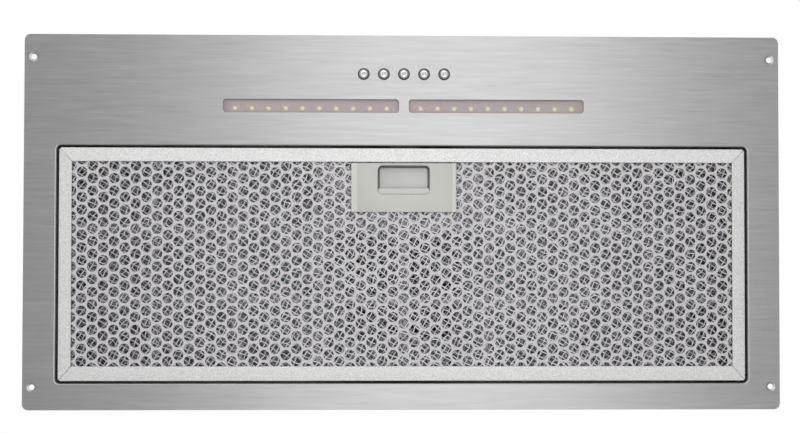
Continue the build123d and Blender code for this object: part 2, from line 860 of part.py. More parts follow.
def impeller():
    """The double squirrel-cage wheel: a hub disc, blades on both sides of it, and two end rings."""
    blade_length = (fan_width - fan_disc_t) / 2 - fan_ring_t
    around = RegularPolygon(fan_r + fan_blade_t, fan_blades)
    wheel = extrude(Pos(0, 0, -fan_disc_t / 2) * around, fan_disc_t)
    wheel += Pos(0, 0, hub_boss - hub_length / 2) * Cylinder(hub_r, hub_length)
    ring = around - RegularPolygon(fan_inner_r, fan_blades)
    ring = extrude(Pos(0, 0, -fan_ring_t / 2) * ring, fan_ring_t)
    blades = []
    for side in (-1, 1):
        wheel += Pos(0, 0, side * (fan_width - fan_ring_t) / 2) * ring
        start = fan_disc_t / 2 if side > 0 else -fan_disc_t / 2 - blade_length
        for i in range(fan_blades):
            angle = (i + (side > 0) / 2) * 360 / fan_blades
            blades.append(extrude(Pos(0, 0, start) * blade(angle), blade_length))
    wheel = wheel.fuse(*blades)
    wheel = Pos(0, blower_y, blower_z) * Rot(0, 90, 0) * wheel
    return wheel - bar_x(-fan_width, fan_width, blower_y, blower_z, shaft_r)


def motor_shaft():
    """The shaft that carries the wheel, from its hub into the motor."""
    return bar_x(-hub_length, motor_x + shaft_in_motor, blower_y, blower_z, shaft_r)


def motor():
    """The round motor inside the right half of the wheel."""
    outline = Pos(blower_y, blower_z) * RegularPolygon(motor_r, motor_sides)
    can = extrude(Plane.YZ.offset(motor_x) * outline, motor_end_x - motor_x)
    well = shaft_in_motor + motor_gap
    return can - bar_x(motor_x, motor_x + well, blower_y, blower_z, shaft_r + shaft_clear)


def grommet_points():
    """Centres of the motor's rubber feet, in y and z."""
    return [
        (blower_y + grommet_circle_r * cos(radians(turn)), blower_z + grommet_circle_r * sin(radians(turn)))
        for turn in grommet_turns
    ]


def motor_bracket():
    """The three-armed plate on the end of the motor, which holds it in the inlet."""
    arms = RegularPolygon(spider_hub_r, spider_hub_sides)
    for turn in grommet_turns:
        reach = grommet_circle_r + spider_arm / 2
        arms += Rot(0, 0, turn) * Pos(reach / 2) * Rectangle(reach, spider_arm)
    return extrude(Plane.YZ.offset(motor_end_x) * Pos(blower_y, blower_z) * arms, spider_t)


def motor_grommets():
    """Rubber feet between the motor bracket and the inlet wall."""
    foot = extrude(RegularPolygon(grommet_r, grommet_sides), grommet_t)
    return [Pos(side_x, y, z) * Rot(0, 90, 0) * foot for y, z in grommet_points()]


def motor_screws():
    """The screws that hold the bracket to the motor's end."""
    head = extrude(RegularPolygon(screw_head_r, 6), screw_head_t)
    heads = []
    for turn in grommet_turns:
        y = blower_y + motor_screw_circle_r * cos(radians(turn))
        z = blower_z + motor_screw_circle_r * sin(radians(turn))
        heads.append(Pos(motor_end_x + spider_t, y, z) * Rot(0, 90, 0) * head)
    return heads


# ---- duct collar and flaps ----
def collar_gasket():
    """The foam frame under the collar's flange."""
    half = collar_half
    hole = half - gasket_width
    sheet = block(-half, half, duct_y - half, duct_y + half, panel_top_z, collar_z)
    return sheet - block(-hole, hole, duct_y - hole, duct_y + hole, panel_top_z, collar_z)


def duct_collar():
    """The round spigot on its square flange, with stops for the flaps and square holes for their pins."""
    inner_r = duct_r - duct_t
    collar = block(
        -collar_half, collar_half, duct_y - collar_half, duct_y + collar_half,
        collar_z, collar_z + collar_flange_t,
    )
    collar += post(0, duct_y, collar_z, collar_z + duct_h, duct_r)
    collar -= prism(0, duct_y, collar_z, collar_z + duct_h, inner_r, duct_bore_sides)
    stop_top = flap_z + flap_hem_half - flap_t - stop_gap
    for turn in (90, 270):
        stop = block(
            inner_r - stop_reach, inner_r + stop_root, -stop_length / 2, stop_length / 2,
            stop_top - stop_t, stop_top,
        )
        collar += Pos(0, duct_y, 0) * Rot(0, 0, turn) * stop
    for side in (-1, 1):
        y = duct_y + side * flap_pin_offset
        collar -= block(
            -duct_r, duct_r, y - flap_pin_r, y + flap_pin_r, flap_z - flap_pin_r, flap_z + flap_pin_r
        )
    return collar


def damper_pin(side):
    """A flap's hinge pin, across the collar and flush with its outside."""
    reach = sqrt(duct_r ** 2 - (flap_pin_offset + flap_pin_r) ** 2) - flap_pin_short
    return bar_x(-reach, reach, duct_y + side * flap_pin_offset, flap_z, flap_pin_r)


def damper_flap(side):
    """The front (-1) or back (1) half-round flap, with a hem folded round its pin."""
    r = duct_r - duct_t - flap_edge_gap
    pin_y = side * flap_pin_offset
    edge = pin_y - side * flap_inner_lap
    z0 = flap_z + flap_hem_half - flap_t
    disc = prism(0, 0, z0, z0 + flap_t, r, flap_sides)
    flap = disc & block(-r, r, min(edge, side * r), max(edge, side * r), z0, z0 + flap_t)
    flap += block(
        -hem_length / 2, hem_length / 2, pin_y - flap_hem_half, pin_y + flap_hem_half,
        flap_z - flap_hem_half, flap_z + flap_hem_half,
    )
    flap -= bar_x(-r, r, pin_y, flap_z, flap_pin_r + flap_pin_clear)
    return Pos(0, duct_y, 0) * flap


# ---- electrics ----
def cable_gland():
    """The gland that the supply cable comes in through, screwed into the top panel."""
    hex_top = panel_top_z + gland_hex_t
    body = hexagon(gland_x, gland_y, panel_top_z, hex_top, gland_hex_r)
    body += hexagon(gland_x, gland_y, hex_top, hex_top + gland_cap_t, gland_cap_r)
    body += prism(
        gland_x, gland_y, panel_top_z - gland_thread_l, panel_top_z, gland_thread_r, gland_thread_sides
    )
    return body - post(gland_x, gland_y, panel_top_z - gland_thread_l, hex_top + gland_cap_t, gland_bore_r)


def gland_nut():
    """The nut of the gland, inside the box."""
    nut = hexagon(gland_x, gland_y, housing_h - gland_hex_t, housing_h, gland_hex_r)
    return nut - prism(
        gland_x, gland_y, housing_h - gland_hex_t, housing_h, gland_thread_r, gland_thread_sides
    )


def control_limits():
    """The control box against the front of the partition: x, y and z limits."""
    half = control_size[0] / 2
    return (
        control_x - half, control_x + half,
        partition_front_y - control_size[1], partition_front_y,
        control_z - control_size[2] / 2, control_z + control_size[2] / 2,
    )


def control_box():
    """The plastic tray of the controls, open to the front."""
    x0, x1, y0, y1, z0, z1 = control_limits()
    tray = block(x0, x1, y0, y1, z0, z1)
    return tray - block(
        x0 + control_wall, x1 - control_wall, y0, y1 - control_wall, z0 + control_wall, z1 - control_wall
    )


def control_lid():
    """The lid of the control box."""
    x0, x1, y0, y1, z0, z1 = control_limits()
    return block(x0, x1, y0 - lid_t, y0, z0, z1)


def control_board():
    """The circuit board in the control box, with its relays and terminal block, on four feet."""
    x0, x1, y0, y1, z0, z1 = control_limits()
    back = y1 - control_wall
    face = back - board_stand - board_t
    half_x = board_size[0] / 2
    half_z = board_size[1] / 2
    board = block(
        control_x - half_x, control_x + half_x, face, face + board_t, control_z - half_z, control_z + half_z
    )
    for sx in (-1, 1):
        for sz in (-1, 1):
            x = control_x + sx * (half_x - board_stand)
            z = control_z + sz * (half_z - board_stand)
            board += block(
                x - board_foot_half, x + board_foot_half, face + board_t, back,
                z - board_foot_half, z + board_foot_half,
            )
    for i in (-1, 0, 1):
        x = control_x + i * relay_pitch
        board += block(
            x - relay_width / 2, x + relay_width / 2, face - relay_depth, face, control_z, control_z + relay_h
        )
    low = control_z - half_z + board_t
    return board + block(
        control_x - terminal_half, control_x + terminal_half, face - terminal_depth, face,
        low, low + terminal_h,
    )


def led_driver():
    """The supply of the lamps, with an ear at each end."""
    half = driver_size[0] / 2
    case = block(
        driver_x - half, driver_x + half, partition_front_y - driver_size[1], partition_front_y,
        driver_z - driver_size[2] / 2, driver_z + driver_size[2] / 2,
    )
    case = chamfer(case.faces().sort_by(Axis.Y)[0].edges(), driver_bevel)
    return case + block(
        driver_x - half - driver_ear, driver_x + half + driver_ear,
        partition_front_y - driver_ear_t, partition_front_y,
        driver_z - driver_ear, driver_z + driver_ear,
    )


def capacitor():
    """The motor's boxed run capacitor, with its ear against the partition and its two tabs."""
    length, depth, height = capacitor_size
    x0 = capacitor_x - length / 2
    z0 = capacitor_z - height / 2
    case = block(x0, x0 + length, partition_front_y - depth, partition_front_y, z0, z0 + height)
    case = chamfer(case.faces().sort_by(Axis.Y)[0].edges(), capacitor_bevel)
    ear_y = partition_front_y - capacitor_ear_t
    ear = block(x0 - capacitor_ear, x0, ear_y, partition_front_y, z0, z0 + height)
    case += ear - bar_y(x0 - capacitor_ear / 2, capacitor_z, ear_y, partition_front_y, capacitor_ear_hole_r)
    tab_y = partition_front_y - depth / 2
    for side in (-1, 1):
        x = capacitor_x + side * tab_spacing / 2
        case += block(
            x - tab_width / 2, x + tab_width / 2, tab_y - tab_t, tab_y, z0 + height, z0 + height + tab_length
        )
    return case


# ---- every sub-part under its node's name ----
nodes = {
    "face_plate": face_plate(),
    "housing_front_wall": long_wall(-1),
    "housing_back_wall": long_wall(1),
    "housing_left_wall": end_wall(-1),
    "housing_right_wall": end_wall(1),
    "partition_wall": partition_wall(),
    "top_panel": top_panel(),
    "scroll_body": scroll_body(),
    "scroll_cover_left": scroll_cover(-1),
    "scroll_cover_right": scroll_cover(1),
    "impeller": impeller(),
    "motor_shaft": motor_shaft(),
    "motor": motor(),
    "motor_bracket": motor_bracket(),
    "motor_grommets": motor_grommets(),
    "motor_screws": motor_screws(),
    "collar_gasket": collar_gasket(),
    "duct_collar": duct_collar(),
    "damper_flap_front": damper_flap(-1),
    "damper_flap_back": damper_flap(1),
    "damper_pins": [damper_pin(-1), damper_pin(1)],
    "cable_gland": cable_gland(),
    "gland_nut": gland_nut(),
    "control_box": control_box(),
    "control_lid": control_lid(),
    "control_board": control_board(),
    "led_driver": led_driver(),
    "capacitor": capacitor(),
    "switch_bracket": switch_bracket(),
    "switch_block": switch_block(),
    "perforated_sheet": perforated_sheet(),
    "mesh_pack": mesh_pack(),
    "rear_grid": rear_grid(),
    "handle_bezel": handle_bezel(),
    "latch_slider": latch_slider(),
    "latch_cover": latch_cover(),
    "filter_pivots": [pivot_pin(-1), pivot_pin(1)],
    "collar_screws": [screw_head(x, y, collar_z + collar_flange_t) for x, y in collar_screw_points()],
    "top_screws": [screw_head(x, y, panel_top_z) for x, y in top_screw_points()],
}
for number, x in enumerate(button_places(), 1):
    nodes[f"button_{number}"] = button_cap(x)
for word, side in (("left", -1), ("right", 1)):
    nodes[f"light_lens_{word}"] = light_lens(side)
    nodes[f"light_holder_{word}"] = light_holder(side)
    nodes[f"led_strip_{word}"] = led_strip(side)
nodes.update(filter_bars())

for name, shape in nodes.items():
    solids = shape if isinstance(shape, list) else [shape]
    export_step(Compound(children=[s for part in solids for s in part.solids()]), f"parts/{name}.step")
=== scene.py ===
# %% [markdown]
# # A range hood insert, seen from below
#
# A hood insert is a steel box that hides in a kitchen cabinet. Only its face plate shows: a brushed sheet
# with five push buttons, two light windows and one wide grease filter. The camera looks straight up at that
# face, as a cook would who bends back under it, so the finish of flat metal has to carry the picture.
#
# The solid parts already exist as a fixed frame, in metres. We load it, and dress or replace its pieces one
# by one.

import json
import math
import random

import bmesh
import bpy
from mathutils import Euler, Matrix, Vector


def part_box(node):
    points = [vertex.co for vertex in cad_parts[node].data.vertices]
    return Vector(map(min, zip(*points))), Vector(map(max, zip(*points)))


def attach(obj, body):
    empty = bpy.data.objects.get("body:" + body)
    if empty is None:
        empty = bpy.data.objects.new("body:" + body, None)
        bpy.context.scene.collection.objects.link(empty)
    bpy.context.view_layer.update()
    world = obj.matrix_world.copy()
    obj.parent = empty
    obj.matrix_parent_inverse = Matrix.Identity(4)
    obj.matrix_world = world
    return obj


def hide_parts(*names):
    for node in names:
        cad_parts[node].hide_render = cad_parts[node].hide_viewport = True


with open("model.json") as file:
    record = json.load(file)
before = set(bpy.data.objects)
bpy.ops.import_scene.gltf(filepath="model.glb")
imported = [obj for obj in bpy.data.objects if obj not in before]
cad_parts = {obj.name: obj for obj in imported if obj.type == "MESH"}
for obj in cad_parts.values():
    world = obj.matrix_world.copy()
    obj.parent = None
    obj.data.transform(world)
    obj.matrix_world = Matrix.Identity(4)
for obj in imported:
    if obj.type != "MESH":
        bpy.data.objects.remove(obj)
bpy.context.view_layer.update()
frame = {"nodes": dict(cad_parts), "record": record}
MM = 0.001

# %% [markdown]
# ## Camera
#
# The picture was taken square on from 1.19 m below, with the lens of a product photograph. A camera that
# looks straight up is a camera turned half a turn about X. The small rest of the turn is how far off square
# it stood. We keep the sensor at 36 mm and set only the lens, because that pair is easy to compare with a
# real camera.

# %% Camera
eye = Vector((-30.1, 19.6, -1190.9)) * MM
turn = Euler((math.radians(-178.788), math.radians(1.271), math.radians(-0.086)))
camera_data = bpy.data.cameras.new("camera")
camera_data.lens = 54.0
camera_data.sensor_width = 36.0
camera_data.clip_start = 0.05
camera = bpy.data.objects.new("camera", camera_data)
camera.location = eye
camera.rotation_euler = turn
bpy.context.scene.collection.objects.link(camera)
bpy.context.scene.camera = camera
bpy.context.scene.view_settings.view_transform = "Standard"
print("camera", round(-eye.z, 3), "m below the face, lens", camera_data.lens, "mm")

# %% [markdown]
# ## Light
#
# Brushed steel shows its surroundings, blurred. Between two dim sides the photograph has one soft bright band
# down the middle, so the main lamp is a long softbox below the camera, facing up, which the steel reflects. A
# wide lamp lights paint, plastic and dull aluminium, and steel doesn't mirror it. A low side lamp, beyond the
# buttons and to the left, whitens whatever leans that way: domes, bevels and strands. A fourth soft lamp
# hangs overhead for the views from above. The world is white to the eye and to reflections, and less than
# half as strong as light, so that it fills the shadows and washes nothing out. The floor is lifted in the
# same way.

# %% World and lamps
world_fill = 0.42
floor_drop = -2.9
floor_size = 45.0
floor_grey = (0.72, 0.72, 0.72, 1)
floor_lift = 0.2
white = (1, 1, 1, 1)
upwards, downwards = (0, 0, 1), (0, 0, -1)
side_place = Vector((-0.9, -1.9, -1.1))


def as_seen(tree, unseen, seen):
    """A socket with one value for light, and another for what is seen, mirrored or seen through glass."""
    rays = tree.nodes.new("ShaderNodeLightPath")
    ray = rays.outputs["Is Camera Ray"]
    for name in ("Is Glossy Ray", "Is Transmission Ray"):
        either = tree.nodes.new("ShaderNodeMath")
        either.operation = "MAXIMUM"
        tree.links.new(ray, either.inputs[0])
        tree.links.new(rays.outputs[name], either.inputs[1])
        ray = either.outputs[0]
    strength = tree.nodes.new("ShaderNodeMapRange")
    strength.inputs["To Min"].default_value = unseen
    strength.inputs["To Max"].default_value = seen
    tree.links.new(ray, strength.inputs["Value"])
    return strength.outputs["Result"]


def make_world(fill):
    """A white world that is dimmer as light."""
    world = bpy.data.worlds.new("studio")
    bpy.context.scene.world = world
    world.use_nodes = True
    background = world.node_tree.nodes["Background"]
    background.inputs["Color"].default_value = white
    world.node_tree.links.new(as_seen(world.node_tree, fill, 1.0), background.inputs["Strength"])


def softbox(name, size, place, energy, aim, mirrored=True):
    """A rectangular lamp out of the camera's sight, aimed along a direction, that metal may mirror."""
    light = bpy.data.lights.new(name, "AREA")
    light.shape = "RECTANGLE"
    light.size, light.size_y = size
    light.energy = energy
    lamp = bpy.data.objects.new(name, light)
    lamp.location = place
    lamp.rotation_euler = Vector(aim).to_track_quat("-Z", "Y").to_euler()
    lamp.visible_camera = False
    lamp.visible_glossy = mirrored
    bpy.context.scene.collection.objects.link(lamp)


def pale_floor(drop):
    """A wide plain floor, far below the object."""
    bm = bmesh.new()
    bmesh.ops.create_grid(bm, x_segments=1, y_segments=1, size=floor_size)
    bmesh.ops.translate(bm, vec=(0, 0, drop), verts=bm.verts)
    mesh = bpy.data.meshes.new("floor")
    bm.to_mesh(mesh)
    bm.free()
    material = bpy.data.materials.new("floor_paint")
    material.use_nodes = True
    tree = material.node_tree
    paint = tree.nodes["Principled BSDF"]
    paint.inputs["Base Color"].default_value = floor_grey
    paint.inputs["Roughness"].default_value = 0.9
    paint.inputs["Emission Color"].default_value = white
    tree.links.new(as_seen(tree, 0.0, floor_lift), paint.inputs["Emission Strength"])
    mesh.materials.append(material)
    floor = bpy.data.objects.new("floor", mesh)
    bpy.context.scene.collection.objects.link(floor)


for material in list(bpy.data.materials):
    bpy.data.materials.remove(material)
make_world(world_fill)
pale_floor(floor_drop)
softbox("band_softbox", size=(0.85, 2.4), place=(0.13, -0.35, -1.55), energy=10.0, aim=upwards)
softbox("wide_softbox", size=(1.6, 1.6), place=(-0.35, -0.40, -1.6), energy=7.5, aim=upwards, mirrored=False)
softbox("side_softbox", size=(2.6, 1.6), place=side_place, energy=11.0, aim=-side_place)
softbox("top_softbox", size=(2.4, 2.4), place=(0.3, -0.4, 2.4), energy=22.0, aim=downwards)

# %% [markdown]
# ## Colours and the plain shader
#
# Paint charts and photographs give colours as sRGB numbers from 0 to 255, and Blender's shader wants them
# linear. One small function converts them. Every finish starts from the same Principled shader, whose
# constant values are set on its own sockets, and gets its grain from noise that reads Object coordinates. The
# objects all stand at the origin, so a grain keeps one scale in metres on every piece.

# %% Shader helpers
def linear(r, g, b):
    """An sRGB colour, 0 to 255, as linear values with alpha."""
    def straight(c):
        c = c / 255
        return c / 12.92 if c <= 0.04045 else ((c + 0.055) / 1.055) ** 2.4
    return (straight(r), straight(g), straight(b), 1.0)


class Finish:
    """A material under construction: its nodes, links and Principled shader."""

    def __init__(self, name, colour, metallic=0.0, roughness=0.5):
        self.material = bpy.data.materials.new(name)
        self.material.use_nodes = True
        self.nodes = self.material.node_tree.nodes
        self.links = self.material.node_tree.links
        self.shader = self.nodes["Principled BSDF"]
        self.set(**{"Base Color": linear(*colour), "Metallic": metallic, "Roughness": roughness})
        self.where = self.nodes.new("ShaderNodeTexCoord").outputs["Object"]

    def set(self, **values):
        """Sets sockets of the shader to constant values."""
        for name, value in values.items():
            self.shader.inputs[name].default_value = value

    def add(self, kind, inputs=None, **settings):
        """A new node, with its settings, and its inputs as values or links."""
        node = self.nodes.new("ShaderNode" + kind)
        for name, value in settings.items():
            setattr(node, name, value)
        for name, value in (inputs or {}).items():
            if isinstance(value, bpy.types.NodeSocket):
                self.links.new(value, node.inputs[name])
            else:
                node.inputs[name].default_value = value
        return node

    def noise(self, scale, detail=2.0, stretch=(1, 1, 1), roughness=0.5):
        """Noise on Object coordinates, in features per metre, stretched along an axis by a smaller number."""
        mapped = self.add("Mapping", {"Vector": self.where, "Scale": stretch})
        made = self.add("TexNoise", {
            "Vector": mapped.outputs["Vector"], "Scale": scale, "Detail": detail, "Roughness": roughness,
        })
        return made.outputs["Fac"]

    def ranged(self, value, low, high, out_low=0.0, out_high=1.0):
        """A value brought from one range to another."""
        made = self.add("MapRange", {
            "Value": value, "From Min": low, "From Max": high, "To Min": out_low, "To Max": out_high,
        })
        return made.outputs["Result"]

    def mixed(self, factor, first, second):
        """A colour between two, by a factor."""
        made = self.add("Mix", {0: factor, 6: first, 7: second}, data_type="RGBA")
        return made.outputs[2]

    def drive(self, name, value):
        """Links a value that varies over the surface to one of the shader's sockets."""
        self.links.new(value, self.shader.inputs[name])

    def vary(self, colour, amount, factor):
        """Moves the colour between a darker and a lighter shade, by a factor that varies over the surface."""
        dark, light = (linear(*(min(255, max(0, c + step)) for c in colour)) for step in (-amount, amount))
        self.drive("Base Color", self.mixed(factor, dark, light))

    def bump(self, height, distance, strength=1.0):
        """Bump from a height between 0 and 1, with a depth in metres."""
        made = self.add("Bump", {"Height": height, "Distance": distance, "Strength": strength})
        self.drive("Normal", made.outputs["Normal"])


# %% [markdown]
# ## Brushed stainless steel
#
# The sheet is brushed along its length, so its grain is noise stretched far along X and fine along Y. The
# grain moves the colour a little, the roughness more, and the height by a few hundredths of a millimetre. A
# broader, fainter noise stands for the uneven pressure of the brush.

# %% Metals of the face
def brushed_finish(name, colour, roughness, along=(0.04, 1.0, 1.0), contrast=8, depth=0.00003):
    """Steel brushed along one axis."""
    finish = Finish(name, colour, metallic=1.0, roughness=roughness)
    fine = finish.noise(800, 3.0, along, 0.6)
    broad = finish.noise(320, 2.0, (along[0] * 1.6, *along[1:]))
    both = finish.add("Math", {0: fine, 1: broad}, operation="ADD").outputs[0]
    finish.vary(colour, contrast, finish.ranged(both, 0.6, 1.4))
    finish.drive("Roughness", finish.ranged(fine, 0.3, 0.7, roughness - 0.03, roughness + 0.03))
    finish.bump(fine, depth)
    return finish.material


def satin_finish(name, colour, roughness, grain=2500, contrast=6, depth=0.00004, metallic=1.0):
    """Rolled or blasted metal with a sandy grain."""
    finish = Finish(name, colour, metallic=metallic, roughness=roughness)
    sand = finish.noise(grain, 4.0, roughness=0.7)
    cloud = finish.noise(25, 3.0)
    finish.vary(colour, contrast, finish.ranged(sand, 0.3, 0.7))
    finish.drive("Roughness", finish.ranged(cloud, 0.35, 0.65, roughness - 0.03, roughness + 0.03))
    finish.bump(sand, depth)
    return finish.material


brushed_steel = brushed_finish("brushed_stainless", (171, 171, 171), 0.36)
frame_metal = satin_finish("filter_frame", (221, 221, 220), 0.5, grain=900, contrast=26, metallic=0.3)
web_metal = satin_finish("perforated_aluminium", (204, 200, 203), 0.6, grain=1800, contrast=18, metallic=0.3)
strand_metal = satin_finish("aluminium_mesh", (180, 180, 182), 0.34, grain=3000, contrast=10, metallic=0.8)
# The middle and deep layers of the mesh are darker as painted shade, for their depth in the pad.
middle_shade_metal = satin_finish("aluminium_mesh_middle", (120, 120, 122), 0.4, grain=3000, contrast=10)
shade_metal = satin_finish("aluminium_mesh_deep", (84, 84, 86), 0.45, grain=3000, contrast=10)
bright_steel = satin_finish("bright_steel", (190, 190, 192), 0.28, grain=900, contrast=5, depth=0.00001)
chrome = satin_finish("chrome", (218, 218, 220), 0.2, grain=400, contrast=3, depth=0.000002, metallic=0.9)
print("face metals:", [m.name for m in bpy.data.materials])

# %% [markdown]
# ## Galvanised sheet, aluminium and paint inside the box
#
# Zinc crystals grow in flat patches, a few millimetres wide, each with its own grey. That is a Voronoi
# pattern whose cells take random greys. Extruded aluminium has fine lines along its length. Motor paint is
# smooth with a slight orange peel.

# %% Metals of the box
def galvanised_finish(name, colour):
    """Sheet with zinc spangle."""
    finish = Finish(name, colour, metallic=1.0, roughness=0.4)
    cells = finish.add("TexVoronoi", {"Vector": finish.where, "Scale": 120.0, "Randomness": 1.0})
    grey = finish.add("SeparateColor", {"Color": cells.outputs["Color"]}).outputs[0]
    finish.vary(colour, 7, grey)
    finish.drive("Roughness", finish.ranged(grey, 0.0, 1.0, 0.36, 0.43))
    finish.bump(finish.noise(60, 3.0), 0.00005)
    return finish.material


galvanised_finish("galvanised_steel", (168, 171, 174))
brushed_finish("extruded_aluminium", (196, 197, 198), 0.38, along=(0.03, 1.0, 1.0), contrast=5)
satin_finish("flap_aluminium", (176, 177, 179), 0.5, grain=700, contrast=10)
satin_finish("motor_paint", (62, 64, 66), 0.42, grain=500, contrast=4, metallic=0.0)
print("box metals:", len(bpy.data.materials), "materials so far")

# %% [markdown]
# ## Plastics, rubber and glass
#
# Moulded plastic is never quite even: a fine spark-eroded grain breaks its shine, and its colour drifts a
# little over a hand's width. Foam and rubber are rougher still. The diffuser is thin frosted plastic: part of
# the light stops at it and shows its own pinkish colour, and the rest goes straight through to the lamps and
# back.

# %% Plastics
def moulded_finish(name, colour, roughness=0.45, grain=2200, depth=0.00003, drift=4):
    """Moulded plastic with a fine grain."""
    finish = Finish(name, colour, roughness=roughness)
    fine = finish.noise(grain)
    cloud = finish.noise(18)
    finish.vary(colour, drift, finish.ranged(cloud, 0.35, 0.65))
    finish.drive("Roughness", finish.ranged(fine, 0.3, 0.7, roughness - 0.06, roughness + 0.08))
    finish.bump(fine, depth)
    return finish.material


def diffuser_finish(name, colour):
    """Thin frosted plastic, part of it clear to what is behind."""
    finish = Finish(name, colour, roughness=0.3)
    finish.set(Alpha=0.5)
    frost = finish.noise(1600)
    finish.drive("Roughness", finish.ranged(frost, 0.3, 0.7, 0.24, 0.36))
    finish.bump(frost, 0.00002)
    return finish.material


def board_finish(name, colour, track):
    """A printed board: lacquer over copper tracks."""
    finish = Finish(name, colour, roughness=0.35)
    tracks = finish.add("TexBrick", {
        "Vector": finish.where, "Scale": 140.0, "Mortar Size": 0.06, "Color1": linear(*colour),
        "Color2": linear(*(c + 6 for c in colour)), "Mortar": linear(*track),
    })
    finish.drive("Base Color", tracks.outputs["Color"])
    finish.bump(tracks.outputs["Fac"], 0.00004)
    return finish.material


handle_plastic = moulded_finish("handle_plastic", (198, 199, 192), 0.42, drift=3)
band_plastic = moulded_finish("handle_band_plastic", (210, 210, 206), 0.42, drift=3)
latch_plastic = moulded_finish("latch_plastic", (200, 201, 196), 0.42, drift=3)
# The latch's base is a darker grey as painted shade, for the step round the pad.
shade_plastic = moulded_finish("latch_base_plastic", (124, 125, 121), 0.5, drift=3)
black_plastic = moulded_finish("black_plastic", (34, 34, 36), 0.45)
# The buttons' dark grey skirt is painted shade and painted dark reflection, for the ring round each cap.
skirt_shade_plastic = moulded_finish("button_skirt_plastic", (84, 84, 86), 0.45)
moulded_finish("scroll_plastic", (58, 59, 62), 0.5, depth=0.00005)
moulded_finish("wheel_plastic", (44, 45, 48), 0.4)
moulded_finish("white_plastic", (222, 222, 218), 0.4)
moulded_finish("soft_rubber", (34, 34, 34), 0.8, grain=1200, depth=0.00012)
diffuser = diffuser_finish("frosted_diffuser", (205, 190, 186))
lamp_board = moulded_finish("lamp_board", (232, 230, 224), 0.5)
board_finish("circuit_board", (28, 74, 48), (92, 112, 62))
lamp_glow = moulded_finish("lamp_phosphor", (240, 218, 130), 0.4)
glow_shader = lamp_glow.node_tree.nodes["Principled BSDF"]
glow_shader.inputs["Emission Color"].default_value = linear(244, 230, 172)
glow_shader.inputs["Emission Strength"].default_value = 1.3
print("materials:", len(bpy.data.materials))

# %% [markdown]
# ## A material for every node of the frame
#
# Each node names a material slot in the record. The finish of a slot has the slot's name, so a look-up by
# name hands it to every node that uses the slot. The nodes that are replaced later get one too, which does no
# harm.

# %% Dress the frame's nodes
finishes = {material.name: material for material in bpy.data.materials}
slot_of = {part["node"]: part["material_slot"] for part in frame["record"]["subparts"]}
for name, node in frame["nodes"].items():
    node.data.materials.clear()
    node.data.materials.append(finishes[slot_of[name]])
print("dressed", len(slot_of), "nodes in", len(set(slot_of.values())), "finishes")

# %% [markdown]
# ## Tools for sheet metal
#
# Pressed sheet is loops of edges: the outline, the rim of each hole, and the steps of each bend between two
# of them. A rounded rectangle is a grid of one square with its corners bevelled. Two loops are joined with
# bridge_loops, and a flat with holes in it is closed with triangle_fill. That gives clean bends exactly where
# we want them, which a boolean cut would not. We draw in millimetres, because the operators have tolerances
# that suit numbers of that size, and go to metres when a piece is finished.

# %% Loop helpers
def fresh(bm, kind, before):
    """What a bmesh has gained of one kind since the set before was taken."""
    return [item for item in getattr(bm, kind) if item not in before]


def rectangle_loop(bm, limits, radius, z, steps=6):
    """The edges of a rectangle with rounded corners, at one height."""
    x0, x1, y0, y1 = limits
    old_edges, old_faces = set(bm.edges), set(bm.faces)
    corners = bmesh.ops.create_grid(bm, x_segments=1, y_segments=1, size=0.5)["verts"]
    bmesh.ops.scale(bm, vec=(x1 - x0, y1 - y0, 1), verts=corners)
    bmesh.ops.translate(bm, vec=((x0 + x1) / 2, (y0 + y1) / 2, z), verts=corners)
    if radius > 0:
        bmesh.ops.bevel(
            bm, geom=corners, offset=radius, offset_type="OFFSET", affect="VERTICES",
            segments=steps, profile=0.5, material=-1,
        )
    bmesh.ops.delete(bm, geom=fresh(bm, "faces", old_faces), context="FACES_ONLY")
    return fresh(bm, "edges", old_edges)


def circle_loop(bm, x, y, radius, z, sides=32):
    """The edges of a circle, at one height."""
    old_edges = set(bm.edges)
    made = bmesh.ops.create_circle(bm, segments=sides, radius=radius)["verts"]
    bmesh.ops.translate(bm, vec=(x, y, z), verts=made)
    return fresh(bm, "edges", old_edges)


def bridge(bm, loops):
    """Walls between each loop and the next."""
    for first, second in zip(loops, loops[1:]):
        bmesh.ops.bridge_loops(bm, edges=first + second)
    return loops


def stack(bm, *levels, steps=6):
    """Walls through a rounded rectangle for each level, which gives its limits, corner and height."""
    return bridge(bm, [rectangle_loop(bm, *level, steps) for level in levels])


def rings(bm, x, y, *levels, sides=32):
    """Walls through a circle for each level, which gives its radius and height."""
    return bridge(bm, [circle_loop(bm, x, y, *level, sides) for level in levels])


def flat(bm, *loops):
    """A flat between an outline and the rims of its holes."""
    bmesh.ops.triangle_fill(bm, use_beauty=True, edges=[edge for loop in loops for edge in loop])


def sliced(bm, place, direction, dist=0.0001, drop=False, faces=None):
    """Cuts faces, or all, with a plane, may drop what lies in its direction, and returns the cut's edges."""
    cut = bm.faces if faces is None else faces
    geometry = {item for face in cut for item in (face, *face.edges, *face.verts)}
    made = bmesh.ops.bisect_plane(
        bm, geom=list(geometry), dist=dist, plane_co=place, plane_no=direction, clear_outer=drop,
    )
    return [item for item in made["geom_cut"] if isinstance(item, bmesh.types.BMEdge)]


def grown(limits, amount):
    """A rectangle's limits, moved outwards."""
    x0, x1, y0, y1 = limits
    return (x0 - amount, x1 + amount, y0 - amount, y1 + amount)


def within(place, limits):
    """Whether a place is inside a rectangle's limits."""
    return limits[0] < place.x < limits[1] and limits[2] < place.y < limits[3]


def box_of(name):
    """The lowest and highest corner of a CAD node, in millimetres."""
    low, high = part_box(name)
    return low / MM, high / MM


def limits_of(*names):
    """The limits in x and y of some CAD nodes together, in millimetres."""
    boxes = [box_of(name) for name in names]
    return (
        min(low.x for low, high in boxes), max(high.x for low, high in boxes),
        min(low.y for low, high in boxes), max(high.y for low, high in boxes),
    )


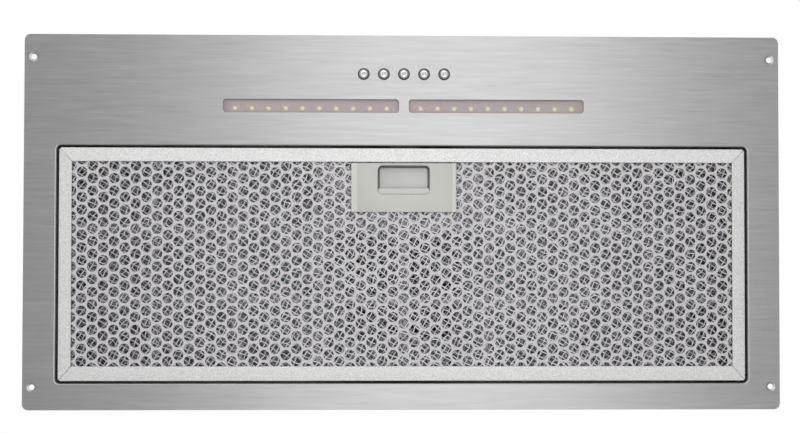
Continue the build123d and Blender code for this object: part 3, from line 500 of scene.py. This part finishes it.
def soften(bm, angle=30.0):
    """Smooth shading, with an edge kept sharp where the surface turns by more than an angle."""
    for face in bm.faces:
        face.smooth = True
    for edge in bm.edges:
        turns = edge.calc_face_angle(0.0) if len(edge.link_faces) == 2 else 0.0
        edge.smooth = turns < math.radians(angle)


def finish_piece(name, bm, materials, body, stands_for=(), recalculate=True):
    """Makes an object of a bmesh drawn in millimetres, puts it on its body, and tells what it is."""
    if recalculate:
        bmesh.ops.recalc_face_normals(bm, faces=bm.faces)
    bmesh.ops.scale(bm, vec=(MM, MM, MM), verts=bm.verts)
    mesh = bpy.data.meshes.new(name)
    bm.to_mesh(mesh)
    bm.free()
    for material in materials:
        mesh.materials.append(material)
    piece = bpy.data.objects.new(name, mesh)
    bpy.context.scene.collection.objects.link(piece)
    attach(piece, body)
    if stands_for:
        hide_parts(*stands_for)
    triangles = sum(len(face.vertices) - 2 for face in mesh.polygons)
    print(f"{name}: {triangles} triangles, on {body}")
    return piece


# %% [markdown]
# ## Face plate
#
# The plate is 1 mm sheet. Its filter opening is drawn up into a collar over a quarter-round bend, and that
# bend is the bright line round the dark gap. The fixing holes are countersunk. Windows and button holes are
# punched, with an edge just broken by the tumbler. We build the lower and the upper skin as flats with holes,
# and bridge their rims: through a bend, through a countersink, or straight.

# %% Face plate sizes
plate_outline = limits_of("face_plate")
sheet_t = 1.0
face_z = -sheet_t
plate_corner = 6.0
filter_outline = limits_of("filter_bar_front", "filter_bar_back", "filter_bar_left", "filter_bar_right")
filter_gap = 2.3
opening = grown(filter_outline, filter_gap)
opening_corner = 4.5
collar_top = 8.0
bend_radius = 1.6
bend_steps = 5
edge_break = 0.15
lens_lap = 2.0
windows = [grown(limits_of(name), -lens_lap) for name in ("light_lens_left", "light_lens_right")]
window_corner = 3.0
button_names = [f"button_{number}" for number in range(1, 6)]
button_middles = [((x0 + x1) / 2, (y0 + y1) / 2) for x0, x1, y0, y1 in map(limits_of, button_names)]
button_hole = 5.8
fixing_middles = [(side * 365.6, end * 163.0) for side in (-1, 1) for end in (-1, 1)]
sink_radius = 4.8
fixing_radius = 2.7
fixing_land = 0.3
print("opening", [round(value, 1) for value in opening], "windows", [round(w[0], 1) for w in windows])

# %% Face plate
def bend_loops(bm, limits, corner, offset, radius, z, upward, steps):
    """The loops of a quarter-round bend between a wall and a flat at z, in the order from wall to flat."""
    loops = []
    for step in range(steps + 1):
        turn = math.pi / 2 * step / steps
        out = offset + radius * (1 - math.cos(turn))
        height = z + upward * radius * (1 - math.sin(turn))
        loops.append(rectangle_loop(bm, grown(limits, out), corner + out, height))
    return loops


def punched(loops):
    """Takes the first and last loop of walls through the sheet as rims of its two skins."""
    lower.append(loops[0])
    upper.append(loops[-1])


bm = bmesh.new()
lower, upper = [], []
broken = (grown(plate_outline, -edge_break), plate_corner - edge_break)
punched(stack(
    bm, (*broken, face_z), (plate_outline, plate_corner, face_z + edge_break),
    (plate_outline, plate_corner, -edge_break), (*broken, 0),
))
inner_bend = bend_loops(bm, opening, opening_corner, 0, bend_radius, face_z, 1, bend_steps)
collar_in = rectangle_loop(bm, opening, opening_corner, collar_top)
collar_out = rectangle_loop(bm, grown(opening, sheet_t), opening_corner + sheet_t, collar_top)
outer_bend = bend_loops(bm, opening, opening_corner, sheet_t, bend_radius - sheet_t, 0, 1, bend_steps)
punched(bridge(bm, [*reversed(inner_bend), collar_in, collar_out, *outer_bend]))
for window in windows:
    punched(stack(
        bm, (grown(window, edge_break), window_corner + edge_break, face_z),
        (window, window_corner, face_z + edge_break), (window, window_corner, 0),
    ))
for x, y in button_middles:
    punched(rings(
        bm, x, y, (button_hole + edge_break, face_z), (button_hole, face_z + edge_break), (button_hole, 0),
    ))
for x, y in fixing_middles:
    punched(rings(bm, x, y, (sink_radius, face_z), (fixing_radius, -fixing_land), (fixing_radius, 0)))
flat(bm, *lower)
flat(bm, *upper)
soften(bm, 24)
for edge in (edge for loop in lower + upper for edge in loop):
    edge.smooth = False
finish_piece("face_plate_sheet", bm, [brushed_steel], "hood", ["face_plate"])

# %% [markdown]
# ## Filter frame
#
# The frame is one folded channel, cut into four bars that meet in mitres. We draw the whole channel as loops,
# from the inner edge of the lower flange round the outside to the upper flange and back, and then cut four
# copies of it with bisect_plane along the mitres. A hair of air between the bars draws the diagonal line. The
# lower flange leans back a little towards its outer edge, so each bar catches the light in its own way.

# %% Filter frame
bar_t = 0.8
bar_side, bar_front, bar_back = 12.7, 13.7, 14.4
bar_return = 8.0
bar_bend = 0.7
lip_break = 0.45
bar_lean = 0.7
bar_corner = 3.0
mitre_gap = 0.4
fx0, fx1, fy0, fy1 = filter_outline
frame_window = (fx0 + bar_side, fx1 - bar_side, fy0 + bar_front, fy1 - bar_back)
filter_low, filter_high = (corner.z for corner in box_of("filter_bar_front"))


def frame_channel():
    """The whole channel of the filter's frame, as one closed shell."""
    bm = bmesh.new()
    hair = 0.2
    low_bend = bend_loops(bm, filter_outline, bar_corner, 0, -bar_bend, filter_low + bar_lean, -1, 4)
    high_bend = bend_loops(bm, filter_outline, bar_corner, 0, -bar_bend, filter_high, 1, 4)
    lip = stack(
        bm, (frame_window, hair, filter_low + bar_t), (frame_window, hair, filter_low + lip_break),
        (grown(frame_window, lip_break), hair + lip_break, filter_low),
    )
    roof = (grown(filter_outline, -bar_return), hair)
    roof_edge = stack(bm, (*roof, filter_high), (*roof, filter_high - bar_t))
    inside = (grown(filter_outline, -bar_t), bar_corner - bar_t)
    wall = stack(bm, (*inside, filter_high - bar_t), (*inside, filter_low + bar_t))
    bridge(bm, [*reversed(low_bend), *high_bend])
    bridge(bm, [lip[2], low_bend[-1]])
    flat(bm, high_bend[-1], roof_edge[0])
    flat(bm, roof_edge[1], wall[0])
    flat(bm, wall[1], lip[0])
    return bm


def cut_away(bm, place, direction, reach=40.0):
    """Cuts a shell with a plane, drops what lies in the direction, and closes the cut near the place."""
    cut = sliced(bm, place, direction, drop=True)
    flat(bm, [edge for edge in cut if (edge.verts[0].co - place).length < reach])


def corner_of(limits, end):
    """A corner of a rectangle, by 0 or 1 for its low or high side in x and in y."""
    return Vector((limits[end[0]], limits[2 + end[1]], 0))


bar_ends = {
    "front": ((0, 0), (1, 0)), "back": ((0, 1), (1, 1)), "left": ((0, 0), (0, 1)), "right": ((1, 0), (1, 1)),
}
centre = Vector((fx0 + fx1, fy0 + fy1, 0)) / 2
for side, ends in bar_ends.items():
    bm = frame_channel()
    middle = sum((corner_of(filter_outline, end) for end in ends), Vector()) / 2
    sliced(bm, centre, centre - middle, drop=True)
    for end in ends:
        place = corner_of(filter_outline, end)
        along = corner_of(frame_window, end) - place
        away = Vector((-along.y, along.x, 0)).normalized()
        if away.dot(middle - place) > 0:
            away.negate()
        cut_away(bm, place - away * mitre_gap / 2, away)
    soften(bm, 30)
    finish_piece(f"frame_bar_{side}", bm, [frame_metal], "filter", [f"filter_bar_{side}"])

# %% [markdown]
# ## Perforated sheet
#
# The sheet is pierced with some 1100 holes in staggered columns. One cell of the pattern is a rectangle with
# a round hole whose rim is turned a little inwards by the punch. We fill one cell, copy it into a column,
# copy the columns with every second one half a step lower, and merge what meets. The sheet's real edges and
# the handle's pocket are then cut through whatever holes they cross, as the shear does.

# %% Perforated sheet
pitch_x, pitch_y = 10.6, 12.47
hole_first_y = 0.61
hole_radius = 5.1
hole_lip = 0.14
hole_lip_rise = 0.18
hole_sides = 18
pattern_merge = 0.001         # cuts this near to a corner of the pattern go through it
web_limits = limits_of("perforated_sheet")
web_z = box_of("perforated_sheet")[0].z
web_t = 0.6
pocket_cut = (-27.0, 27.0, -57.5, -19.0)
handle_slot = (-52.2, 52.2, -60.3, -58.4)


def pattern_cell(bm):
    """One cell round the origin, with its pierced hole."""
    made = bmesh.ops.create_grid(bm, x_segments=1, y_segments=2, size=0.5)["verts"]
    bmesh.ops.scale(bm, vec=(pitch_x, pitch_y, 1), verts=made)
    bmesh.ops.delete(bm, geom=list(bm.faces), context="FACES_ONLY")
    middle = [edge for edge in bm.edges if all(abs(vert.co.y) < 0.01 for vert in edge.verts)]
    bmesh.ops.delete(bm, geom=middle, context="EDGES")
    outline = list(bm.edges)
    rim = circle_loop(bm, 0, 0, hole_radius + hole_lip, 0, hole_sides)
    lip = circle_loop(bm, 0, 0, hole_radius, hole_lip_rise, hole_sides)
    flat(bm, outline, rim)
    bridge(bm, [rim, lip])


def copied(bm, geometry, shift):
    """A copy of some geometry, moved."""
    made = bmesh.ops.duplicate(bm, geom=geometry)["geom"]
    moved = [item for item in made if isinstance(item, bmesh.types.BMVert)]
    bmesh.ops.translate(bm, vec=shift, verts=moved)
    return made


def sides_of(limits):
    """A place on each side of a rectangle, and the side's outward direction."""
    x0, x1, y0, y1 = limits
    low, high = (x0, y0, 0), (x1, y1, 0)
    return (low, (-1, 0, 0)), (high, (1, 0, 0)), (low, (0, -1, 0)), (high, (0, 1, 0))


def cropped(bm, limits):
    """Cuts a flat pattern along a rectangle's four sides and drops what lies outside."""
    for place, direction in sides_of(limits):
        sliced(bm, place, direction, pattern_merge, drop=True)


def box_touches(face, limits):
    """Whether a face's box meets a rectangle."""
    xs = [vert.co.x for vert in face.verts]
    ys = [vert.co.y for vert in face.verts]
    return min(xs) < limits[1] and max(xs) > limits[0] and min(ys) < limits[3] and max(ys) > limits[2]


def pocketed(bm, limits):
    """Cuts a flat pattern along a rectangle's four sides and drops what lies inside."""
    for place, direction in sides_of(limits):
        near = [face for face in bm.faces if box_touches(face, grown(limits, 1.0))]
        sliced(bm, place, direction, pattern_merge, faces=near)
    inside = [face for face in bm.faces if within(face.calc_center_median(), limits)]
    bmesh.ops.delete(bm, geom=inside, context="FACES")


bm = bmesh.new()
pattern_cell(bm)
rows_down = math.ceil((hole_first_y - web_limits[2]) / pitch_y) + 1
rows = rows_down + math.ceil((web_limits[3] - hole_first_y) / pitch_y) + 1
columns_left = math.ceil(-web_limits[0] / pitch_x)
first = (-columns_left * pitch_x, hole_first_y - rows_down * pitch_y, 0)
bmesh.ops.translate(bm, vec=first, verts=bm.verts)
cell = [*bm.verts, *bm.edges, *bm.faces]
column = list(cell)
for row in range(1, rows):
    column += copied(bm, cell, (0, row * pitch_y, 0))
for number in range(1, 2 * columns_left + 1):
    copied(bm, column, (number * pitch_x, number % 2 * pitch_y / 2, 0))
bmesh.ops.remove_doubles(bm, verts=bm.verts, dist=0.01)
cropped(bm, web_limits)
pocketed(bm, pocket_cut)
pocketed(bm, handle_slot)
bmesh.ops.recalc_face_normals(bm, faces=bm.faces)
up = sum(face.normal.z for face in bm.faces if abs(face.normal.z) > 0.99)
if up > 0:
    bmesh.ops.reverse_faces(bm, faces=bm.faces)
bmesh.ops.solidify(bm, geom=bm.faces, thickness=web_t)
bmesh.ops.translate(bm, vec=(0, 0, web_z - min(vert.co.z for vert in bm.verts)), verts=bm.verts)
print("web from z", round(web_z, 2), "to", round(max(vert.co.z for vert in bm.verts), 2))
soften(bm, 35)
finish_piece(
    "pierced_web", bm, [web_metal], "filter", ["perforated_sheet"], recalculate=False,
)

# %% [markdown]
# ## Aluminium mesh
#
# Behind the holes lies a pad of knitted aluminium ribbon, pressed flat in several layers. Its glints and dark
# gaps are what the eye sees as the mesh, so it has to be real geometry. Each layer is a grid turned to its
# own angle, with every crossing pushed about at random from a fixed seed. An inset leaves a ribbon round each
# cell, and a thin wall makes it solid. Deeper layers get a darker metal, as painted shade for their depth.

# %% Aluminium mesh
mesh_limits = grown(limits_of("mesh_pack"), -4.0)
ribbon_half = 0.44
ribbon_t = 0.15
mesh_cell = 5.0
push_flat, push_up = 1.3, 0.75
# Each deeper layer takes a darker metal, which is painted shade.
layer_places = ((1.7, 31.0, strand_metal), (3.4, -37.0, middle_shade_metal), (5.1, 68.0, shade_metal))
crumple = random.Random(7)


def mesh_layer(height, turn):
    """One knitted layer at a height, turned by an angle."""
    x0, x1, y0, y1 = mesh_limits
    bm = bmesh.new()
    reach = math.hypot(x1 - x0, y1 - y0) / 2 + mesh_cell
    across = int(2 * reach / mesh_cell)
    bmesh.ops.create_grid(bm, x_segments=across, y_segments=across, size=reach)
    bmesh.ops.rotate(bm, cent=(0, 0, 0), matrix=Matrix.Rotation(math.radians(turn), 3, "Z"), verts=bm.verts)
    bmesh.ops.translate(bm, vec=((x0 + x1) / 2, (y0 + y1) / 2, height), verts=bm.verts)
    kept_out = grown(pocket_cut, 3.5), grown(handle_slot, 1.5)
    out = []
    for face in bm.faces:
        middle = face.calc_center_median()
        if not within(middle, mesh_limits) or any(within(middle, limits) for limits in kept_out):
            out.append(face)
    bmesh.ops.delete(bm, geom=out, context="FACES")
    for vert in bm.verts:
        vert.co.x += crumple.uniform(-push_flat, push_flat)
        vert.co.y += crumple.uniform(-push_flat, push_flat)
        vert.co.z += crumple.uniform(-push_up, push_up)
    cells = list(bm.faces)
    bmesh.ops.inset_individual(bm, faces=cells, thickness=ribbon_half, depth=0.0, use_even_offset=True)
    bmesh.ops.delete(bm, geom=cells, context="FACES")
    bmesh.ops.solidify(bm, geom=bm.faces, thickness=ribbon_t)
    return bm


for number, (rise, turn, metal) in enumerate(layer_places, 1):
    bm = mesh_layer(rise, turn)
    heights = [vert.co.z for vert in bm.verts]
    print("layer", number, "from z", round(min(heights), 2), "to", round(max(heights), 2))
    finish_piece(f"mesh_layer_{number}", bm, [metal], "filter", ["mesh_pack"])

# %% [markdown]
# ## Handle
#
# The handle is a moulded plate with a finger pocket. Its edges are rounded, its two ends stand a little proud
# as grip bands, and a sleeve behind it keeps the mesh out of the pocket. It is one moulding, so it is one
# shell: the outline over a rounded edge, the pocket through the plate, the sleeve's walls, and back.

# %% Handle
handle_limits = limits_of("handle_bezel")
handle_low, sleeve_top = (corner.z for corner in box_of("handle_bezel"))
handle_top = handle_low + 1.2
handle_corner, handle_round = 0.9, 0.6
pocket = (-25.8, 25.8, -56.3, -27.6)
pocket_corner = 5.0
mouth_steps = ((0.9, 0.0), (0.35, 0.3), (0.0, 0.9))
sleeve_inner = (-25.85, 25.85, -56.35, -20.2)
sleeve_wall = 1.15
band_left, band_right = -46.0, 48.2
band_step, band_rise = 0.3, 0.16

bm = bmesh.new()
edge_loops = bend_loops(bm, handle_limits, handle_corner, 0, -handle_round, handle_low, -1, 4)
flares = [(grown(pocket, flare), pocket_corner + flare, handle_low + rise) for flare, rise in mouth_steps]
mouth = stack(bm, *flares, (pocket, pocket_corner, handle_top))
outer_back = rectangle_loop(bm, handle_limits, handle_corner, handle_top)
sleeve_outer = grown(sleeve_inner, sleeve_wall)
sleeve = stack(
    bm, (sleeve_inner, 0.3, handle_top), (sleeve_inner, 0.3, sleeve_top), (sleeve_outer, 1.0, sleeve_top),
    (sleeve_outer, 1.0, handle_top),
)
bridge(bm, [*reversed(edge_loops), outer_back])
flat(bm, edge_loops[-1], mouth[0])
flat(bm, mouth[-1], sleeve[0])
flat(bm, sleeve[-1], outer_back)
for x in (band_left, band_left + band_step, band_right - band_step, band_right):
    sliced(bm, (x, 0, 0), (1, 0, 0))
low_x, high_x = band_left + band_step / 2, band_right - band_step / 2
for vert in bm.verts:
    if low_x < vert.co.x < high_x and vert.co.z < handle_low + handle_round / 2:
        vert.co.z += band_rise
for face in bm.faces:
    if not band_left < face.calc_center_median().x < band_right:
        face.material_index = 1
soften(bm, 28)
finish_piece(
    "handle_moulding", bm, [handle_plastic, band_plastic], "filter", ["handle_bezel"],
)

# %% [markdown]
# ## Latch slider
#
# A finger in the pocket draws the lip back, and the bolt comes out of the plate's edge. The slider is one
# moulding: a base plate with a raised pad that is the pocket's floor, a wall and a rounded lip at its near
# end, and the bolt. The narrow step between pad and base lies in shade and draws the dark line round the
# floor, and the base's darker grey is painted shade that deepens it. The bolt behind the frame is black.

# %% Latch slider
slider_low, slider_high = box_of("latch_slider")
base_limits = (-28.8, 28.8, -57.5, slider_high.y)
base_low, pad_low = 9.5, 8.4
pad = (-23.9, 23.9, -54.4, -29.2)
bolt = (-14.0, 14.0, slider_low.y, -57.5)
lip = (-25.4, 25.4, -33.7, -27.6)
lip_low, lip_high = slider_low.z, 2.4
lip_wall = (-25.4, 25.4, -29.2, -27.6)
overlap = 0.01
print("slider from y", round(slider_low.y, 1), "to", round(slider_high.y, 1), "z", round(slider_high.z, 1))


def rounded_block(bm, limits, corner, low, high, rounding, steps=3):
    """A block with rounded corners and a rounded lower edge."""
    before = set(bm.faces)
    lower = bend_loops(bm, limits, corner, 0, -rounding, low, -1, steps)
    top = rectangle_loop(bm, limits, corner, high)
    bridge(bm, [*reversed(lower), top])
    flat(bm, lower[-1])
    flat(bm, top)
    return fresh(bm, "faces", before)


bm = bmesh.new()
shaded_base_faces = rounded_block(bm, base_limits, 1.0, base_low, slider_high.z, rounding=0.2)
bolt_faces = rounded_block(bm, bolt, 1.5, pad_low, slider_high.z, rounding=0.5)
rounded_block(bm, pad, 2.2, pad_low, base_low + overlap, rounding=0.35)
rounded_block(bm, lip, 1.2, lip_low, lip_high, rounding=0.55)
rounded_block(bm, lip_wall, 0.5, lip_high - overlap, pad_low + 0.4, rounding=0.1)
# The base takes the darker grey: painted shade.
for face in shaded_base_faces:
    face.material_index = 1
for face in bolt_faces:
    face.material_index = 2
soften(bm, 28)
finish_piece(
    "latch_moulding", bm, [latch_plastic, shade_plastic, black_plastic], "latch",
    ["latch_slider"],
)

# %% [markdown]
# ## Push buttons
#
# Each button is a moulding with a bright plated disc set in its top, dished for the fingertip inside a
# rounded crest. The skirt round the disc is dark grey, as painted shade and painted dark reflection. With the
# gap to the plate it draws a dark ring round the cap. All of it is one profile spun round its axis, so that a
# reflection runs round without facets. A square shoulder behind the plate keeps the button in, and a stem
# works the switch.

# %% Push buttons
cap_radius = 5.2
cap_low, stem_high = (corner.z for corner in box_of("button_1"))
shoulder_low, shoulder_high = 0.3, 1.8
shoulder_half, stem_half = 7.0, 2.0
disc_radius = 4.35
disc_round = 0.3
crest_radius = 2.7
dish_depth = 0.8
crest_fall = 1.1
skirt_drop, skirt_round = 0.3, 0.25
stem_chamfer = 0.4
dome_steps, cap_sides = 15, 48


def button_cap(name, x, y):
    """A domed cap with its shoulder and stem."""
    bm = bmesh.new()
    inner = disc_radius - disc_round
    profile = []
    for step in range(dome_steps + 1):
        r = inner * step / dome_steps
        if r < crest_radius:
            z = cap_low + dish_depth * (1 + math.cos(math.pi * r / crest_radius)) / 2
        else:
            z = cap_low + crest_fall * ((r - crest_radius) / (inner - crest_radius)) ** 2
        profile.append((r, z))
    for step in range(1, 4):
        turn = math.pi / 2 * step / 3
        profile.append((
            inner + disc_round * math.sin(turn), cap_low + crest_fall + disc_round * (1 - math.cos(turn)),
        ))
    skirt = profile[-1][1] + skirt_drop
    profile += [
        (disc_radius, skirt), (cap_radius - skirt_round, skirt), (cap_radius, skirt + skirt_round),
        (cap_radius, shoulder_low),
    ]
    verts = [bm.verts.new((r, 0, z)) for r, z in profile]
    edges = [bm.edges.new(pair) for pair in zip(verts, verts[1:])]
    bmesh.ops.spin(
        bm, geom=verts + edges, cent=(0, 0, 0), axis=(0, 0, 1), angle=2 * math.pi, steps=cap_sides,
        use_merge=True,
    )
    bmesh.ops.remove_doubles(bm, verts=bm.verts, dist=0.001)
    root = [edge for edge in bm.edges if len(edge.link_faces) == 1]
    square = (-shoulder_half, shoulder_half, -shoulder_half, shoulder_half)
    post = (-stem_half, stem_half, -stem_half, stem_half)
    shoulder = stack(bm, (square, 1.0, shoulder_low), (square, 1.0, shoulder_high), steps=3)
    stem = stack(
        bm, (post, 0.4, shoulder_high), (post, 0.4, stem_high - stem_chamfer),
        (grown(post, -0.3), 0.2, stem_high), steps=3,
    )
    flat(bm, root, shoulder[0])
    flat(bm, shoulder[1], stem[0])
    flat(bm, stem[-1])
    # The skirt, shoulder and stem take the dark grey. On the skirt it is painted shade and painted
    # reflection.
    for face in bm.faces:
        middle = face.calc_center_median()
        if middle.z > skirt - skirt_drop and middle.xy.length > inner or middle.z > shoulder_low - 0.01:
            face.material_index = 1
    bmesh.ops.translate(bm, vec=(x, y, 0), verts=bm.verts)
    soften(bm, 35)
    finish_piece(f"{name}_cap", bm, [chrome, skirt_shade_plastic], name, [name])


for name, (x, y) in zip(button_names, button_middles):
    button_cap(name, x, y)

# %% [markdown]
# ## Lamps behind the windows
#
# Ten lamps sit on a white board behind each frosted window, and show through it as soft warm spots, because
# their yellow phosphor glows a little. Each lamp is a moulded square with a round well of phosphor.

# %% Lamps
lamp_count, lamp_pitch, lamp_first = 10, 16.8, 17.0
lamp_row = -113.7
lamp_half_x, lamp_half_y = 3.1, 2.8
board_front, board_t = -120.4, 1.0
well_radius, well_slope, well_depth = 2.5, 0.4, 0.3


def lamp_strip(side, word):
    """A printed board with ten lamps that face down."""
    node = f"led_strip_{word}"
    low, high = box_of(node)
    board = (low.x, high.x, board_front, high.y)
    bm = bmesh.new()
    board_low = high.z - board_t
    rims = stack(bm, (board, 0.8, board_low), (board, 0.8, high.z), steps=3)
    lamps = []
    for number in range(lamp_count):
        x = side * (lamp_first + number * lamp_pitch)
        case = (x - lamp_half_x, x + lamp_half_x, lamp_row - lamp_half_y, lamp_row + lamp_half_y)
        walls = stack(bm, (case, 0.4, board_low), (case, 0.4, low.z), steps=2)
        well = rings(
            bm, x, lamp_row, (well_radius, low.z), (well_radius - well_slope, low.z + well_depth), sides=16,
        )
        flat(bm, walls[1], well[0])
        lamps.append((walls[0], well[1]))
    flat(bm, rims[0], *[foot for foot, glow in lamps])
    flat(bm, rims[1])
    before = set(bm.faces)
    for foot, glow in lamps:
        flat(bm, glow)
    for face in fresh(bm, "faces", before):
        face.material_index = 1
    soften(bm, 40)
    finish_piece(f"lamp_strip_{word}", bm, [lamp_board, lamp_glow], "hood", [node])


lamp_strip(-1, "left")
lamp_strip(1, "right")

# %% [markdown]
# ## Windows
#
# Each diffuser is a shallow tray: its rim lies on the back of the plate and its pane stands back from it,
# which is why the pane's upper edge and ends lie in shade. Four loops and three flats make it.

# %% Windows
pane_z = 1.3
tray_lap = 0.6
for word, window in zip(("left", "right"), windows):
    node = f"light_lens_{word}"
    low, high = box_of(node)
    bm = bmesh.new()
    outer = stack(bm, (limits_of(node), 1.0, low.z), (limits_of(node), 1.0, high.z))
    pan = stack(
        bm, (grown(window, tray_lap), window_corner + tray_lap, low.z),
        (grown(window, tray_lap / 2), window_corner + tray_lap / 2, pane_z),
    )
    flat(bm, outer[0], pan[0])
    flat(bm, outer[1])
    flat(bm, pan[1])
    soften(bm)
    finish_piece(f"window_{word}", bm, [diffuser], "hood", [node])

# %% [markdown]
# ## Round and softened copies of plain nodes
#
# The frame's solids are loose triangles with hard edges. Seen from above and with the filter open, sheet and
# mouldings want a small broken edge that catches the light. We copy such a node, merge its vertices, dissolve
# the flats, bevel the sharp edges a little and shade only round faces smooth, as a wide flat whose normals
# lean would shine in wedges. The copy replaces the node.

# %% Softened copies
blackened_steel = satin_finish("blackened_steel", (58, 58, 60), 0.4, grain=900, contrast=5, depth=0.00001)
body_of = {node: body for body, nodes in frame["record"]["behaviour"]["bodies"].items() for node in nodes}
hard_angle, round_angle = 30.0, 20.0
sheet_break, moulding_break = 0.2, 0.5


def merged(name):
    """A CAD node's mesh, in millimetres, with its doubled vertices merged and its flats in one piece."""
    bm = bmesh.new()
    bm.from_mesh(frame["nodes"][name].data)
    bmesh.ops.scale(bm, vec=(1 / MM, 1 / MM, 1 / MM), verts=bm.verts)
    bmesh.ops.remove_doubles(bm, verts=bm.verts, dist=0.005)
    bmesh.ops.dissolve_limit(bm, angle_limit=math.radians(1), verts=bm.verts, edges=bm.edges)
    return bm


def softened_copy(name, width, material=None):
    """A copy of a CAD node with its hard edges broken, and only its round faces shaded smooth."""
    bm = merged(name)
    before = bm.calc_volume()
    hard = [edge for edge in bm.edges if edge.calc_face_angle(0.0) > math.radians(hard_angle)]
    bmesh.ops.bevel(
        bm, geom=hard, offset=width, offset_type="OFFSET", affect="EDGES", segments=2, profile=0.5,
        material=-1, clamp_overlap=True,
    )
    open_edges = sum(len(edge.link_faces) != 2 for edge in bm.edges)
    print(f"  {name}: {len(hard)} hard edges, volume x {bm.calc_volume() / before:.3f}, {open_edges} open")
    soften(bm, round_angle)
    metal = material or finishes[slot_of[name]]
    finish_piece(f"{name}_soft", bm, [metal], body_of[name], [name], recalculate=False)


sheet_names = [
    "housing_front_wall", "housing_back_wall", "housing_left_wall", "housing_right_wall", "top_panel",
    "partition_wall", "duct_collar", "latch_cover", "switch_bracket", "motor_bracket", "damper_flap_front",
    "damper_flap_back", "scroll_cover_left", "scroll_cover_right", "damper_pins", "motor_shaft", "impeller",
]
moulding_names = [
    "cable_gland", "gland_nut", "switch_block", "control_box", "control_lid", "led_driver", "capacitor",
    "motor_grommets", "scroll_body", "motor",
]
for name in sheet_names:
    softened_copy(name, sheet_break)
for name in moulding_names:
    softened_copy(name, moulding_break)
softened_copy("filter_pivots", 0.3, material=blackened_steel)
# The light holders take the darkest mesh metal: painted shade, which darkens the ends of each window seen
# through the diffuser.
for name in ("light_holder_left", "light_holder_right"):
    softened_copy(name, sheet_break, material=shade_metal)

# %% [markdown]
# ## Screws
#
# Sheet-metal screws have a hexagon that stands on a round washer, both in one piece. Each screw is drawn at
# the place of the frame's own, which is one loose island of its node: a washer with a rounded rim, and a
# hexagon whose top is chamfered with a bevel. The motor's screws point along X, so they're drawn upright and
# turned.

# %% Screws
washer_t, washer_round = 0.7, 0.2
hexagon_share = 0.74
screw_chamfer = 0.35


def islands(name):
    """The box of each loose solid of a CAD node, in millimetres."""
    bm = merged(name)
    left = set(bm.verts)
    boxes = []
    while left:
        group, waiting = set(), [left.pop()]
        while waiting:
            vert = waiting.pop()
            group.add(vert)
            near = {edge.other_vert(vert) for edge in vert.link_edges} & left
            left -= near
            waiting.extend(near)
        boxes.append([
            Vector(end(vert.co[axis] for vert in group) for axis in range(3)) for end in (min, max)
        ])
    bm.free()
    return boxes


def screw_head(bm, low, high, upright):
    """One screw head in a box, on its washer."""
    before = set(bm.verts)
    height = high.z - low.z if upright else high.x - low.x
    radius = (high.y - low.y) / 2
    washer = rings(
        bm, 0, 0, (radius, 0), (radius, washer_t - washer_round), (radius - washer_round, washer_t), sides=24,
    )
    across = radius * hexagon_share
    hexagon = rings(bm, 0, 0, (across, washer_t), (across, height), sides=6)
    flat(bm, washer[0])
    flat(bm, washer[-1], hexagon[0])
    flat(bm, hexagon[1])
    bmesh.ops.bevel(
        bm, geom=hexagon[1], offset=screw_chamfer, offset_type="OFFSET", affect="EDGES", segments=2,
        profile=0.5, material=-1,
    )
    made = fresh(bm, "verts", before)
    if not upright:
        bmesh.ops.rotate(bm, cent=(0, 0, 0), matrix=Matrix.Rotation(math.pi / 2, 3, "Y"), verts=made)
    middle = (low + high) / 2
    foot = (middle.x, middle.y, low.z) if upright else (low.x, middle.y, middle.z)
    bmesh.ops.translate(bm, vec=foot, verts=made)


for name, upright in (("top_screws", True), ("collar_screws", True), ("motor_screws", False)):
    bm = bmesh.new()
    places = islands(name)
    for low, high in places:
        screw_head(bm, low, high, upright)
    soften(bm, 35)
    print(" ", name, len(places), "screws")
    finish_piece(f"{name}_heads", bm, [bright_steel], body_of[name], [name])
